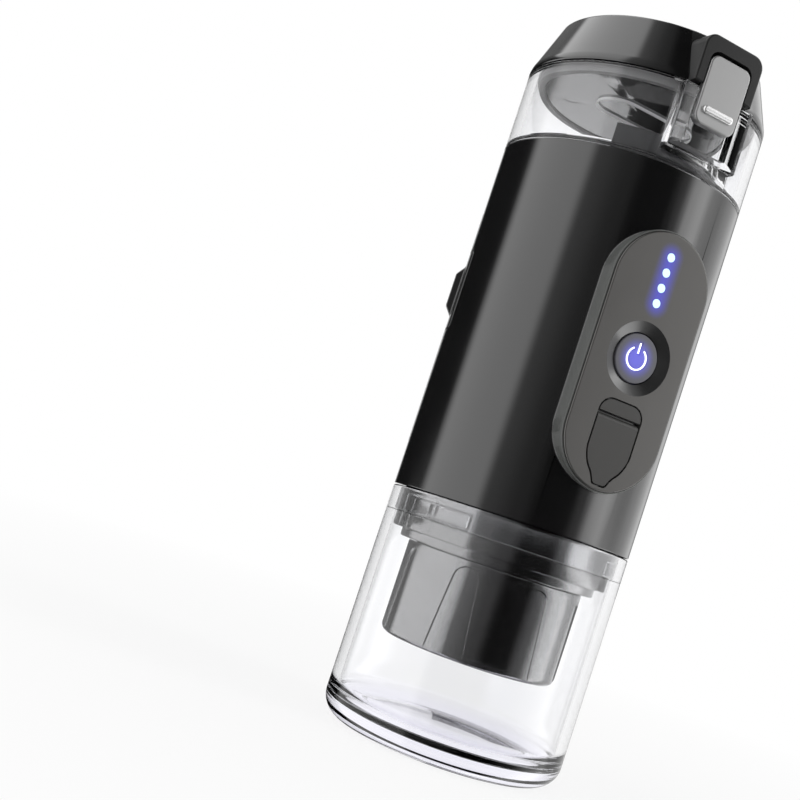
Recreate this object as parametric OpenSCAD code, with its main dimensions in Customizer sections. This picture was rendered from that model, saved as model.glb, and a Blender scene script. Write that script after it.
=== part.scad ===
// Portable electric espresso maker: a clear cup at the foot, a glossy round housing with a flat
// control pad, a clear water tank on top and a hinged lid with a front latch.
// Units are millimetres. Z is up, the table is z = 0, and the control pad faces minus Y.
$fn = 96;

/* [Overall sizes] */
// Outside diameter of cup, housing and tank
body_d = 72; // [68:1:80]
// Height of the seam between cup and housing
cup_h = 70; // [66:1:80]
// Height of the opaque housing
housing_h = 105; // [103:1:115]
// Height of the clear water tank
tank_h = 23.5; // [22:0.5:30]
// Height of the lid above the tank rim
lid_h = 16.5; // [16:0.5:18]

/* [Walls] */
// Thickness of the housing wall, which holds the rear cover in its outer half
housing_wall = 2.8; // [2.6:0.1:3.2]
// Thickness of the cup wall
cup_wall = 2.8; // [2.7:0.1:3.2]
// Thickness of the cup base
cup_floor = 6.5; // [5:0.5:8]
// Thickness of the tank wall
tank_wall = 2.8; // [2.6:0.1:3]

/* [Control pad] */
// Width of the flat pad
pad_w = 32; // [30:0.5:34]
// Height of the flat pad
pad_h = 74; // [72:1:78]
// How far the pad face stands out from the round housing
pad_proud = 2; // [1.8:0.1:2.4]
// Diameter of the power button
button_d = 13.7; // [12:0.1:14.5]
// How far the power button goes in
button_travel = 0.8; // [0.4:0.1:1]
// Diameter of each battery light
led_d = 2.4; // [2:0.1:2.8]
// Distance from one battery light to the next
led_pitch = 4.4; // [4:0.1:4.8]
// Width of the rubber port flap
flap_w = 14; // [13.4:0.1:14.6]

/* [Latch and hinge] */
// Width of the latch lever
lever_w = 14; // [12:0.5:14.5]
// Length of the latch lever
lever_h = 19.5; // [19:0.5:20]
// Diameter of the lid hinge pin
hinge_pin_d = 3; // [2.4:0.1:3.4]
// Diameter of the latch pin
latch_pin_d = 1.8; // [1.4:0.1:2]

/* [Brew group] */
// Outside diameter of the fluted brew holder
holder_d = 53; // [50:0.5:54]
// Height of the fluted part of the brew holder
holder_h = 28; // [24:1:30]
// Number of flutes round the brew holder
flute_count = 8; // [6:1:10]
// Width of each locking lug, in degrees
lug_deg = 22; // [16:1:26]
// Angle that locks the cup
twist_deg = 20; // [12:1:22]

/* [Clearances] */
// Gap at the seams between bodies
seam_gap = 0.3; // [0.3:0.05:0.4]
// Gap round pieces that move
moving_gap = 0.35; // [0.3:0.05:0.4]
// Radial running fit of a pin in its bore
pin_fit = 0.05; // [0.02:0.01:0.08]
// Gap between fixed pieces laid in pockets
pocket_gap = 0.1; // [0.05:0.05:0.15]

/* [Hidden] */
r = body_d / 2;
z_cup = cup_h;
z_top = z_cup + housing_h;
z_rim = z_top + tank_h;
z_end = z_rim + lid_h;
housing_ri = r - housing_wall;
cup_ri = r - cup_wall;
tank_ri = r - tank_wall;
// lock ring in the mouth of the cup
ring_ri = cup_ri;
cup_corner = 7;
ring_ro = cup_ri + 1.2;
ring_z = z_cup - 7;
collar_r = cup_ri - 0.6;
channel_r = collar_r - 2.1;
lug_ri = channel_r + moving_gap;
lug_z0 = z_cup - 6.5;
lug_z1 = z_cup - 2.8;
gap_deg = 0.7;
// brew group
holder_r = holder_d / 2;
neck_r = holder_r - 2.3;
bore_r = neck_r + moving_gap;
collar_z = z_cup - 11.5;
step_z = z_cup - 14;
holder_top = step_z - moving_gap;
holder_z = step_z - holder_h;
holder_corner = 2.4;
flute_depth = 0.5;
flute_foot_w = 13.2;
flute_arch_r = 3.8;
flute_arch_z = holder_top - 1.75 - flute_arch_r;
neck_top = z_cup - 6.6;
basket_r = neck_r - 3.4;
groove_r = bore_r + 1.6;
groove_z0 = z_cup - 10.4;
groove_z1 = z_cup - 7.6;
floor_t = 3;
head_boss_r = 4;
// control pad
pad_y = r + pad_proud;
pad_z = z_cup + 51;
pad_t = 1.8;
boss_y = pad_y - 0.6;
pad_back = pad_y - pad_t;
button_z = pad_z + 1;
button_face = pad_y - 1.1;
button_t = 1.7;
dish_d = button_d + 6.9;
led_top = pad_z + 30;
flap_axis_z = pad_z - 16;
flap_t = 1.4;
flap_round_z = flap_axis_z - 10.5;
flap_corner = 3.8;
// half width and drop of the narrowing end of the flap, as shares of half its width
flap_taper = [[1, 0], [0.96, 0.29], [0.84, 0.57], [0.64, 0.8], [0.48, 0.97], [0.42, 1.09], [0.34, 1.22]];
port_z = flap_axis_z - 9.5;
board_y = housing_ri - 4.2;
board_t = 1.6;
board_w = 26;
// rear cover
split_r = r - housing_wall / 2 - 0.1;
cover_ri = split_r + 0.2;
cover_z0 = z_cup + 13;
cover_side_h = housing_h - 33;
cover_tab_h = 12;
wing_mid = cover_z0 + cover_side_h - 25;
// tank and lid
floor_z = z_top - 6.2;
slab_h = 11.8;
intake_h = 15.2;
hinge_y = r - 7;
hinge_z = z_rim + 8;
knuckle_r = hinge_pin_d / 2 + 2.5;
notch_w = 20.8;
lid_z = z_rim + seam_gap;
lid_side_h = 1.5;
screw_head_r = 2.2;
screw_head_h = 0.8;
lid_lean = 5.5;
lid_edge = 0.6;
lid_wall_h = z_end - lid_z - lid_side_h;
cavity_r = r - 5.5;
// latch
frame_w = lever_w + 6.5;
frame_y = r + 1.5;
frame_back = cavity_r - 1.5;
frame_top = z_end - 2;
frame_corner = 3.6;
frame_lid_r = r - lid_lean * (frame_top - lid_z - lid_side_h) / lid_wall_h;
lever_y = r + 1.9;
lever_t = 2.2;
lever_z1 = z_rim + 9.2;
lever_z0 = lever_z1 - lever_h;
pivot_y = lever_y - 2.7;
pivot_z = z_rim + 4.5;
catch_y = r + 1.2;
pocket_y = r - 1.6;
pocket_w = lever_w + 1;
// pieces inside the housing
cell_r = 9.2;
cell_z = z_cup + 18;
cell_h = housing_h - 40;
pump_y = -12;
motor_r = 12.2;
motor_z = z_cup + 50;
motor_h = housing_h - 69;
bracket_z = motor_z + motor_h - 20;
chassis_y = 3.2;
chassis_t = 2;
chassis_h = housing_h - 25;
inlet_x = -21.5;
inlet_y = 10;
tube_r = 2.5;
tube_bore = 1.5;
bend_r = 6;

// Half of a round section with a rounded lower corner
module round_foot(radius, height, corner) {
  translate([0, corner]) square([radius, height - corner]);
  square([radius - corner, height]);
  translate([radius - corner, corner]) circle(corner);
}

// Part of a ring between two angles
module sector(inner, outer, z0, z1, a0, a1) {
  rotate([0, 0, a0]) rotate_extrude(angle = a1 - a0)
    translate([inner, z0]) square([outer - inner, z1 - z0]);
}

// Ring with a plain square section
module ring(inner, outer, z0, z1) {
  rotate_extrude() translate([inner, z0]) square([outer - inner, z1 - z0]);
}

// Bar along X
module bar_x(radius, length, y, z) {
  translate([-length / 2, y, z]) rotate([0, 90, 0]) cylinder(r = radius, h = length);
}

// Bar from the front face inwards along Y
module bar_y(radius, x, z, y0, y1) {
  translate([x, y1, z]) rotate([90, 0, 0]) cylinder(r = radius, h = y1 - y0);
}

// Flat outline in X and Z pushed along Y from y0 to y1
module plate_y(y0, y1) {
  translate([0, y1, 0]) rotate([90, 0, 0]) linear_extrude(y1 - y0) children();
}

// Upright slot outline
module slot(width, height) {
  square([width, height - width], center = true);
  translate([0, (height - width) / 2]) circle(width / 2);
  translate([0, -(height - width) / 2]) circle(width / 2);
}

// Rectangle with four rounded corners
module soft_rect(width, height, corner) {
  square([width - 2 * corner, height], center = true);
  square([width, height - 2 * corner], center = true);
  for (sx = [-1, 1], sz = [-1, 1])
    translate([sx * (width / 2 - corner), sz * (height / 2 - corner)]) circle(corner);
}

// Tube along Z
module tube(height) {
  difference() {
    cylinder(r = tube_r, h = height);
    translate([0, 0, -1]) cylinder(r = tube_bore, h = height + 2);
  }
}

// Quarter bend of a tube in the X and Y plane round the origin
module bend() {
  rotate_extrude(angle = 90) translate([bend_r, 0]) difference() {
    circle(tube_r);
    circle(tube_bore);
  }
}

// Clear cup that catches the coffee and is the foot of the machine
module cup() {
  color([0.86, 0.88, 0.92, 0.4]) difference() {
    rotate_extrude() round_foot(r, z_cup - seam_gap, cup_corner);
    translate([0, 0, cup_floor]) rotate_extrude() round_foot(cup_ri, z_cup, cup_corner - cup_wall + 0.8);
    translate([0, 0, ring_z - moving_gap]) cylinder(r = ring_ro + moving_gap, h = 20);
  }
}

// Clear ring with three lugs in the mouth of the cup
module lock_ring() {
  color([0.88, 0.9, 0.94, 0.4]) {
    ring(ring_ri, ring_ro, ring_z, z_cup - seam_gap);
    for (a = [90, 210, 330])
      sector(lug_ri, ring_ri + 0.4, lug_z0, lug_z1, a - lug_deg / 2, a + lug_deg / 2);
  }
}

// Dark collar under the housing with three angled channels for the lugs
module bayonet_collar() {
  color([0.2, 0.2, 0.21]) difference() {
    union() {
      cylinder_at(collar_r, collar_z, z_cup);
      cylinder_at(holder_r + 3, step_z, collar_z + 1);
    }
    cylinder_at(bore_r, step_z - 1, z_cup + 1);
    ring(bore_r - 1, groove_r, groove_z0, groove_z1);
    for (a = [90, 210, 330]) {
      sector(channel_r, r, lug_z0 - moving_gap, lug_z1 + moving_gap,
        a - lug_deg / 2 - twist_deg - gap_deg, a + lug_deg / 2 + gap_deg);
      sector(channel_r + 0.2, r, collar_z - 1, lug_z1 - 1,
        a - lug_deg / 2 - twist_deg - gap_deg + 0.2, a + lug_deg / 2 - twist_deg + gap_deg);
    }
    for (a = [0, 120, 240])
      sector(bore_r - 0.6, groove_r - 0.2, step_z - 1, groove_z1 - 1, a + 30, a + 46);
  }
}

// Cylinder between two heights
module cylinder_at(radius, z0, z1) {
  translate([0, 0, z0]) cylinder(r = radius, h = z1 - z0);
}

// Outline of one flute, an arch that widens towards the foot
module flute_arch() {
  polygon([[-flute_foot_w / 2, holder_z - 1], [flute_foot_w / 2, holder_z - 1],
    [flute_arch_r, flute_arch_z], [-flute_arch_r, flute_arch_z]]);
  translate([0, flute_arch_z]) circle(flute_arch_r);
}

// Fluted holder for the coffee, twisted into the collar
module brew_holder() {
  color([0.24, 0.24, 0.25]) difference() {
    union() {
      translate([0, 0, holder_z]) rotate_extrude() round_foot(holder_r, holder_top - holder_z, holder_corner);
      cylinder_at(neck_r, holder_top - 1, neck_top);
      for (a = [0, 120, 240])
        sector(neck_r - 1, groove_r - moving_gap, groove_z0 + moving_gap, groove_z1 - moving_gap,
          a - 6, a + 6);
    }
    cylinder_at(basket_r + 0.4, holder_z + 5, neck_top + 1);
    cylinder_at(3, holder_z - 1, holder_z + 6);
    intersection() {
      ring(holder_r - flute_depth, holder_r + 1, holder_z - 1, holder_top);
      for (i = [0 : flute_count - 1]) rotate([90, 0, 90 + i * 360 / flute_count])
        translate([0, 0, holder_r - 4]) linear_extrude(5) flute_arch();
    }
  }
}

// Steel basket with a pierced floor inside the holder
module filter_basket() {
  color([0.75, 0.75, 0.76]) difference() {
    union() {
      cylinder_at(basket_r, neck_top - 18, neck_top + 0.8);
      cylinder_at(neck_r - 0.8, neck_top, neck_top + 0.8);
    }
    cylinder_at(basket_r - 0.6, neck_top - 17.2, neck_top + 2);
    translate([0, 0, neck_top - 19]) cylinder(r = 0.8, h = 3);
    for (i = [0 : 11]) rotate([0, 0, i * 30]) translate([10, 0, neck_top - 19]) cylinder(r = 0.8, h = 3);
  }
}

// Pierced steel screen that spreads the water
module shower_screen() {
  color([0.78, 0.78, 0.79]) difference() {
    cylinder_at(neck_r - 4, z_cup - 4.4, z_cup - 3.6);
    for (i = [0 : 11]) rotate([0, 0, i * 30]) translate([12, 0, z_cup - 6]) cylinder(r = 0.8, h = 4);
  }
}

// Rubber ring that seals the basket
module brew_gasket() {
  color([0.5, 0.2, 0.18]) ring(neck_r - 3.8, neck_r, z_cup - 5.4, z_cup - 3.6);
}

// Head that brings hot water down through the housing floor
module group_head() {
  color([0.55, 0.55, 0.56]) difference() {
    union() {
      cylinder_at(neck_r, z_cup - 3.6, z_cup + floor_t);
      cylinder_at(neck_r + 3, z_cup + floor_t, z_cup + floor_t + 2);
      cylinder_at(head_boss_r, z_cup + floor_t, z_cup + floor_t + 4);
    }
    cylinder_at(tube_bore, z_cup - 10, z_cup + floor_t + 6);
  }
}

// Edge cutter that rounds one corner of the rear cover outline
module cover_corner(angle, z, size, side, up) {
  rotate([0, 0, angle]) translate([0, 0, z]) rotate([90, 0, 90]) linear_extrude(r + 5) difference() {
    translate([min(-side * 0.6, side * size), min(-up * 0.6, up * size)])
      square([size + 0.6, size + 0.6]);
    translate([side * size, up * size]) circle(size * 1.06);
  }
}

// Outline of the rear cover as part of a ring, grown by an edge distance
module cover_outline(inner, outer, grow) {
  edge = grow / r * 180 / PI;
  low = cover_z0 - grow;
  shoulder = cover_z0 + cover_side_h + grow;
  top = cover_z0 + cover_side_h + cover_tab_h + grow;
  wing_low = wing_mid - 12 - grow;
  wing_top = wing_mid + 12 + grow;
  difference() {
    sector(inner, outer, low, top, 13 - edge, 167 + edge);
    for (side = [0, 1]) mirror([side, 0, 0]) {
      sector(inner - 2, outer + 2, low - 5, wing_low, 0, 22 - edge);
      sector(inner - 2, outer + 2, wing_top, top + 5, 0, 22 - edge);
      plate_y(0, r + 20) polygon([[20.9 + grow, shoulder], [13 + grow, shoulder + 22],
        [60, shoulder + 22], [60, shoulder]]);
      cover_corner(22 - edge, low, 2.6 + grow, 1, 1);
      cover_corner(22 - edge, shoulder, 2.6 + grow, 1, -1);
      cover_corner(13 - edge, wing_low, 2.6 + grow, 1, 1);
      cover_corner(13 - edge, wing_top, 2.6 + grow, 1, -1);
    }
  }
}

// Glossy round housing with the raised pad boss, the floor and the ledge for the tank
module housing() {
  color([0.08, 0.08, 0.085]) difference() {
    union() {
      difference() {
        union() {
          cylinder_at(r, z_cup, z_top);
          plate_y(-boss_y, -r + 8) translate([0, pad_z]) slot(pad_w, pad_h);
        }
        cylinder_at(housing_ri, z_cup + floor_t, z_top + 1);
      }
      ring(housing_ri - 2.5, housing_ri + 0.5, floor_z - 2.8, floor_z);
      for (sx = [-1, 1], sz = [-1, 1])
        bar_y(2.2, sx * 10, pad_z + sz * 30.5, -r + 2, -board_y);
    }
    cylinder_at(bore_r, z_cup - 1, z_cup + floor_t + 1);
    cover_outline(split_r, r + 5, seam_gap);
    sector(housing_ri - 3, split_r + 0.2, cover_z0 + 3, cover_z0 + cover_side_h - 3, 25, 155);
    plate_y(-pad_y - 1, -pad_back) translate([0, pad_z]) slot(pad_w - 0.8, pad_h - 0.8);
    bar_y(button_d / 2 + moving_gap, 0, button_z, -pad_y, -button_face + button_t + button_travel + moving_gap);
    bar_y(2.5 + moving_gap, 0, button_z, -pad_y, -r + 8);
    for (i = [0 : 3]) bar_y(led_d / 2, 0, led_top - i * led_pitch, -pad_y, -r + 8);
    plate_y(-pad_y, -r + 8) translate([0, port_z]) rotate(90) slot(4.8, 10.4);
    for (sx = [-1, 1], sz = [-1, 1]) bar_y(1, sx * 10, pad_z + sz * 30.5, -r + 3, -board_y + 1);
  }
}

// Rear cover with a raised grip rib on each side
module rear_cover() {
  color([0.09, 0.09, 0.095]) {
    cover_outline(cover_ri, r, 0);
    for (a = [26, 154]) rotate([0, 0, a]) rotate([90, 0, 0]) translate([0, 0, -1.5]) linear_extrude(3)
      polygon([[r - 0.6, wing_mid - 8.5], [r + 2, wing_mid - 5], [r + 2, wing_mid + 5],
        [r - 0.6, wing_mid + 8.5]]);
  }
}

// Outline of the port flap and its anchor
module flap_outline(grow) {
  half = flap_w / 2;
  top = flap_axis_z + 4.3;
  translate([-half - grow, flap_round_z - 0.01]) square([flap_w + 2 * grow, top - flap_corner - flap_round_z]);
  translate([-half + flap_corner, flap_round_z]) square([flap_w - 2 * flap_corner, top + grow - flap_round_z]);
  for (sx = [-1, 1]) translate([sx * (half - flap_corner), top - flap_corner]) circle(flap_corner + grow);
  polygon(concat(
    [for (p = flap_taper) [p[0] * half + grow, flap_round_z - p[1] * half - (p[1] > 0 ? grow : 0)]],
    [for (i = [len(flap_taper) - 1 : -1 : 0])
      [-flap_taper[i][0] * half - grow, flap_round_z - flap_taper[i][1] * half - (flap_taper[i][1] > 0 ? grow : 0)]]));
}

// Flat satin control pad
module control_pad() {
  color([0.36, 0.355, 0.35]) difference() {
    plate_y(-pad_y, -pad_back) translate([0, pad_z]) slot(pad_w - 0.8 - 2 * pocket_gap, pad_h - 0.8 - 2 * pocket_gap);
    bar_y(button_d / 2 + moving_gap, 0, button_z, -pad_y - 1, -pad_back + 1);
    translate([0, -pad_y + 1.4, button_z]) rotate([90, 0, 0])
      cylinder(r1 = button_d / 2 + moving_gap, r2 = dish_d / 2, h = 1.4);
    for (i = [0 : 3]) bar_y(led_d / 2 + pocket_gap, 0, led_top - i * led_pitch, -pad_y - 1, -pad_back + 1);
    plate_y(-pad_y - 1, -pad_back + 1) flap_outline(moving_gap);
  }
}

// Lit power button with its stem
module power_button() {
  color([0.3, 0.34, 0.42]) difference() {
    union() {
      bar_y(button_d / 2, 0, button_z, -button_face, -button_face + button_t);
      bar_y(2.5, 0, button_z, -button_face + 1, -board_y - 2.4);
    }
    icon_solid(pocket_gap);
  }
}

// Power sign as a broken ring and a short bar
module icon_solid(grow) {
  translate([0, -button_face + 0.4 + grow, button_z]) rotate([90, 0, 0]) {
    rotate([0, 0, 122]) rotate_extrude(angle = 296) translate([2.7 - grow, 0]) square([0.7 + 2 * grow, 0.5 + 2 * grow]);
    translate([-0.35 - grow, 1.2 - grow, 0]) cube([0.7 + 2 * grow, 3.4 + 2 * grow, 0.5 + 2 * grow]);
  }
}

// Light guide that shows the power sign
module power_icon() {
  color([0.95, 0.97, 1]) intersection() {
    icon_solid(0);
    bar_y(button_d, 0, button_z, -button_face, -button_face + 3);
  }
}

// Four light rods of the battery display
module led_lenses() {
  color([0.75, 0.88, 1]) for (i = [0 : 3])
    bar_y(led_d / 2, 0, led_top - i * led_pitch, -pad_y, -board_y - 0.8);
}

// Flat switch behind the button
module tact_switch() {
  color([0.15, 0.15, 0.16]) {
    translate([-3, -board_y - 0.8, button_z - 3]) cube([6, 0.8, 6]);
    bar_y(1.7, 0, button_z, -board_y - 1.1, -board_y - 0.5);
  }
}

// Fixed upper end of the rubber flap
module flap_anchor() {
  color([0.2, 0.2, 0.2]) plate_y(-pad_y, -pad_back) intersection() {
    flap_outline(pocket_gap);
    translate([-20, flap_axis_z + 0.3]) square([40, 20]);
  }
}

// Rubber flap that swings up off the charging port
module port_flap() {
  color([0.22, 0.22, 0.22]) {
    plate_y(-pad_y, -pad_y + flap_t) intersection() {
      flap_outline(0);
      translate([-20, flap_axis_z - 50.2]) square([40, 50]);
    }
    plate_y(-pad_y + 1, -pad_y + flap_t + 0.8) translate([0, port_z]) rotate(90) slot(2.2, 7.2);
  }
}

// Steel shell of the charging port
module usb_shell() {
  color([0.7, 0.7, 0.71]) plate_y(-pad_back + 1.2, -board_y) translate([0, port_z]) rotate(90) difference() {
    slot(3.2, 9);
    slot(2.6, 8.4);
  }
}

// Contact tongue of the charging port
module usb_tongue() {
  color([0.1, 0.1, 0.1]) translate([-3.3, -pad_back + 2, port_z - 0.35])
    cube([6.6, pad_back - 2 - board_y, 0.7]);
}

// Circuit board behind the pad
module circuit_board() {
  color([0.1, 0.32, 0.18]) difference() {
    plate_y(-board_y, -board_y + board_t) translate([0, pad_z]) square([board_w, 68], center = true);
    for (sx = [-1, 1], sz = [-1, 1])
      bar_y(1.2, sx * 10, pad_z + sz * 30.5, -board_y - 1, -board_y + 3);
  }
}

// Four screws that hold the board
module board_screws() {
  color([0.7, 0.7, 0.7]) for (sx = [-1, 1], sz = [-1, 1]) {
    bar_y(2, sx * 10, pad_z + sz * 30.5, -board_y + board_t, -board_y + board_t + 1.2);
    bar_y(0.95, sx * 10, pad_z + sz * 30.5, -r + 3.5, -board_y + board_t + 0.5);
  }
}

// Upright wall between the batteries and the pump
module chassis_wall() {
  color([0.3, 0.3, 0.31]) difference() {
    union() {
      translate([-30, chassis_y, z_cup + floor_t + 2]) cube([60, chassis_t, chassis_h]);
      for (x = [-30, 28]) translate([x, chassis_y, z_cup + floor_t]) cube([2, 9, 3]);
    }
    cylinder_at(head_boss_r + pocket_gap, z_cup + floor_t - 1, z_cup + floor_t + 4 + pocket_gap);
  }
}

// Three round battery cells
module battery_cells() {
  color([0.15, 0.35, 0.6]) for (a = [-48.8, 0, 48.8]) rotate([0, 0, a])
    translate([0, 22.5, cell_z]) cylinder(r = cell_r, h = cell_h);
}

// Tray under the cells and cap over them
module battery_holder() {
  color([0.16, 0.16, 0.17]) difference() {
    for (z = [cell_z - 1.5, cell_z + cell_h - 3]) difference() {
      translate([0, 0, z]) cylinder(r = housing_ri - 0.4, h = 4.5);
      translate([-40, -60, z - 1]) cube([80, 60 + chassis_y + chassis_t, 8]);
      for (x = [-40, 28]) translate([x, 0, z - 1]) cube([12, 10, 8]);
    }
    battery_cells();
  }
}

// Clamp that holds the pump motor to the wall
module pump_bracket() {
  color([0.32, 0.32, 0.33]) difference() {
    union() {
      translate([0, pump_y, bracket_z]) cylinder(r = motor_r + 1.6, h = 8);
      translate([-6, -2, bracket_z]) cube([12, chassis_y + 2, 8]);
    }
    translate([0, pump_y, bracket_z - 6]) cylinder(r = motor_r, h = 20);
  }
}

// Direct current motor of the pump
module pump_motor() {
  color([0.66, 0.66, 0.67]) difference() {
    translate([0, pump_y, motor_z]) cylinder(r = motor_r, h = motor_h);
    translate([0, pump_y, motor_z - 1]) cylinder(r = 1.5 + pin_fit, h = 20);
  }
}

// Motor shaft with the eccentric that drives the pump
module pump_shaft() {
  color([0.8, 0.8, 0.8]) {
    translate([0, pump_y, motor_z - 9]) cylinder(r = 1.5, h = 24);
    translate([1, pump_y, motor_z - 7]) cylinder(r = 5, h = 4);
  }
}

// Pump head with a well for the eccentric
module pump_head() {
  color([0.85, 0.84, 0.8]) difference() {
    union() {
      translate([-13, pump_y - 13, z_cup + 27]) cube([26, 26, 20 - 0.5]);
      translate([-13, pump_y - 13, z_cup + 46]) cube([26, 2, 4]);
      translate([-13, pump_y + 11, z_cup + 46]) cube([26, 2, 4]);
    }
    translate([0, pump_y, z_cup + 40.6]) cylinder(r = 7, h = 12);
    translate([0, pump_y, z_cup + 20]) cylinder(r = tube_bore, h = 12);
    translate([-14, inlet_y - 2 * bend_r - 7, z_cup + 32]) rotate([0, 90, 0]) cylinder(r = tube_bore, h = 10);
  }
}

// Hose from the tank floor down to the pump
module inlet_tube() {
  color([0.9, 0.9, 0.88]) {
    translate([inlet_x, inlet_y, floor_z - 5]) tube(5);
    translate([inlet_x, inlet_y - bend_r, floor_z - 5]) rotate([90, 0, 90]) rotate([0, 0, -90]) bend();
    translate([inlet_x, inlet_y - bend_r, floor_z - 5 - bend_r]) rotate([90, 0, 0]) tube(7);
    translate([inlet_x, inlet_y - bend_r - 7, floor_z - 5 - 2 * bend_r]) rotate([90, 0, 90]) rotate([0, 0, 90]) bend();
    translate([inlet_x, inlet_y - 2 * bend_r - 7, z_cup + 32 + bend_r])
      tube(floor_z - 5 - 2 * bend_r - z_cup - 32 - bend_r);
    translate([inlet_x + bend_r, inlet_y - 2 * bend_r - 7, z_cup + 32 + bend_r]) rotate([90, 0, 0]) rotate([0, 0, 180]) bend();
    translate([inlet_x + bend_r, inlet_y - 2 * bend_r - 7, z_cup + 32]) rotate([0, 90, 0])
      tube(-13 - inlet_x - bend_r);
  }
}

// Hose from the pump down to the group head
module outlet_tube() {
  color([0.9, 0.9, 0.88]) {
    translate([0, pump_y, z_cup + 22]) tube(5);
    translate([0, pump_y + 6, z_cup + 22]) rotate([90, 0, 90]) rotate([0, 0, 180]) bend();
    translate([0, pump_y + 6, z_cup + 10]) rotate([90, 0, 90]) bend();
    translate([0, 0, z_cup + floor_t + 4]) tube(3);
  }
}

// Steel plate that heats the water
module heater_plate() {
  color([0.78, 0.78, 0.79]) cylinder_at(18, floor_z - 1.5, floor_z);
}

// Heating ring under the plate
module heater_ring() {
  color([0.6, 0.5, 0.3]) ring(9, 15, floor_z - 5, floor_z - 1.5);
}

// Small steel probe that reads the water temperature
module temperature_probe() {
  color([0.8, 0.8, 0.8]) translate([0, 22, floor_z - 4]) cylinder(r = 2, h = 13);
}

// Dark strainer over the water inlet
module inlet_strainer() {
  color([0.06, 0.06, 0.06]) difference() {
    translate([inlet_x, inlet_y, floor_z + 5.4]) cylinder(r = 5, h = 5);
    translate([inlet_x, inlet_y, floor_z + 5]) cylinder(r = tube_bore, h = 3);
    translate([inlet_x - 6, inlet_y - 1, floor_z + 8.6]) cube([12, 2, 3]);
  }
}

// Floor of the tank with its raised slab
module tank_floor() {
  color([0.1, 0.1, 0.105]) difference() {
    union() {
      cylinder_at(housing_ri - pocket_gap, floor_z, floor_z + 2);
      cylinder_at(tank_ri - 3, floor_z, floor_z + 5.4);
      intersection() {
        cylinder_at(tank_ri - 4, floor_z, floor_z + slab_h);
        translate([5, -40, floor_z]) cube([40, 80, 20]);
      }
      sector(tank_ri - 9, tank_ri - 4, floor_z, floor_z + intake_h, 228, 312);
    }
    cylinder_at(15, floor_z - 1, floor_z + 12);
    translate([0, 22, floor_z - 1]) cylinder(r = 2, h = 13);
    translate([inlet_x, inlet_y, floor_z - 1]) cylinder(r = tube_bore, h = 10);
  }
}

// Rubber ring under the tank
module tank_gasket() {
  color([0.75, 0.75, 0.74]) ring(tank_ri - 2.9, housing_ri - 0.2, floor_z + 2, floor_z + 3.2);
}

// Clear tank with the latch catch in front and two hinge knuckles behind
module tank() {
  color([0.86, 0.88, 0.92, 0.4]) difference() {
    union() {
      cylinder_at(r, z_top, z_rim);
      ring(tank_ri - 2.6, housing_ri - 0.2, floor_z + 3.2, z_top + 1);
      translate([-pocket_w / 2 - 4.5, -catch_y, z_rim - 19]) cube([pocket_w + 9, 8, 18.4]);
      for (sx = [-1, 1]) translate([sx * 7.6, 0, 0]) {
        bar_x(knuckle_r, 5, hinge_y, hinge_z);
        intersection() {
          translate([-2.5, 0, 0]) rotate([90, 0, 90]) linear_extrude(5)
            polygon([[tank_ri, z_rim - 1], [r - 0.4, z_rim - 1], [r - 0.4, z_rim + 1.5],
              [hinge_y + knuckle_r, hinge_z], [hinge_y, hinge_z], [tank_ri - 0.8, z_rim + 1.2],
              [tank_ri, z_rim + 0.9]]);
          translate([-sx * 7.6, 0, z_rim - 2]) cylinder(r = r, h = 20);
        }
      }
    }
    cylinder_at(tank_ri - 2.6, floor_z, z_top + 1.6);
    cylinder_at(tank_ri, z_top + 1.6, z_rim + 0.2);
    translate([-pocket_w / 2, -r - 10, z_rim - 17]) cube([pocket_w, 10 + r - pocket_y, 20]);
    bar_x(hinge_pin_d / 2 + pin_fit, 40, hinge_y, hinge_z);
  }
  color([0.86, 0.88, 0.92, 0.4]) translate([-5, -pocket_y - 0.4, lever_z0 + 4]) cube([10, 0.8, 1.2]);
}

// Lid section: a short upright side, a wall that leans inwards and a flat top with a small chamfer
module lid_section() {
  top = z_end - lid_z;
  top_r = r - lid_lean;
  polygon([[0, 0], [r, 0], [r, lid_side_h], [top_r + lid_lean * lid_edge / lid_wall_h, top - lid_edge],
    [top_r - lid_edge, top], [0, top]]);
}

// Lid shell
module lid_shell() {
  color([0.07, 0.07, 0.075]) difference() {
    translate([0, 0, lid_z]) rotate_extrude() lid_section();
    difference() {
      cylinder_at(cavity_r, lid_z - 1, z_end - 3.6);
      translate([-notch_w / 2 - 2.2, hinge_y - knuckle_r - 2.6, 0]) cube([notch_w + 4.4, 40, 400]);
      for (sx = [-1, 1], sy = [-1, 1]) translate([sx * 18, sy * 12, lid_z + 1]) cylinder(r = 3, h = 30);
    }
    translate([-notch_w / 2, hinge_y - knuckle_r - 0.5, lid_z - 1]) cube([notch_w, 40, 60]);
    difference() {
      translate([-30, hinge_y, lid_z - 1]) cube([60, 20, hinge_z - lid_z + 1]);
      bar_x(hinge_z - z_rim - seam_gap - 0.1, 80, hinge_y, hinge_z);
    }
    bar_x(hinge_pin_d / 2, 80, hinge_y, hinge_z);
    translate([-frame_w / 2, -r - 10, lid_z - 1]) cube([frame_w, r + 10 - frame_back, 60]);
    for (sx = [-1, 1], sy = [-1, 1]) translate([sx * 18, sy * 12, lid_z]) cylinder(r = 1.2, h = 8);
  }
}

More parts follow.
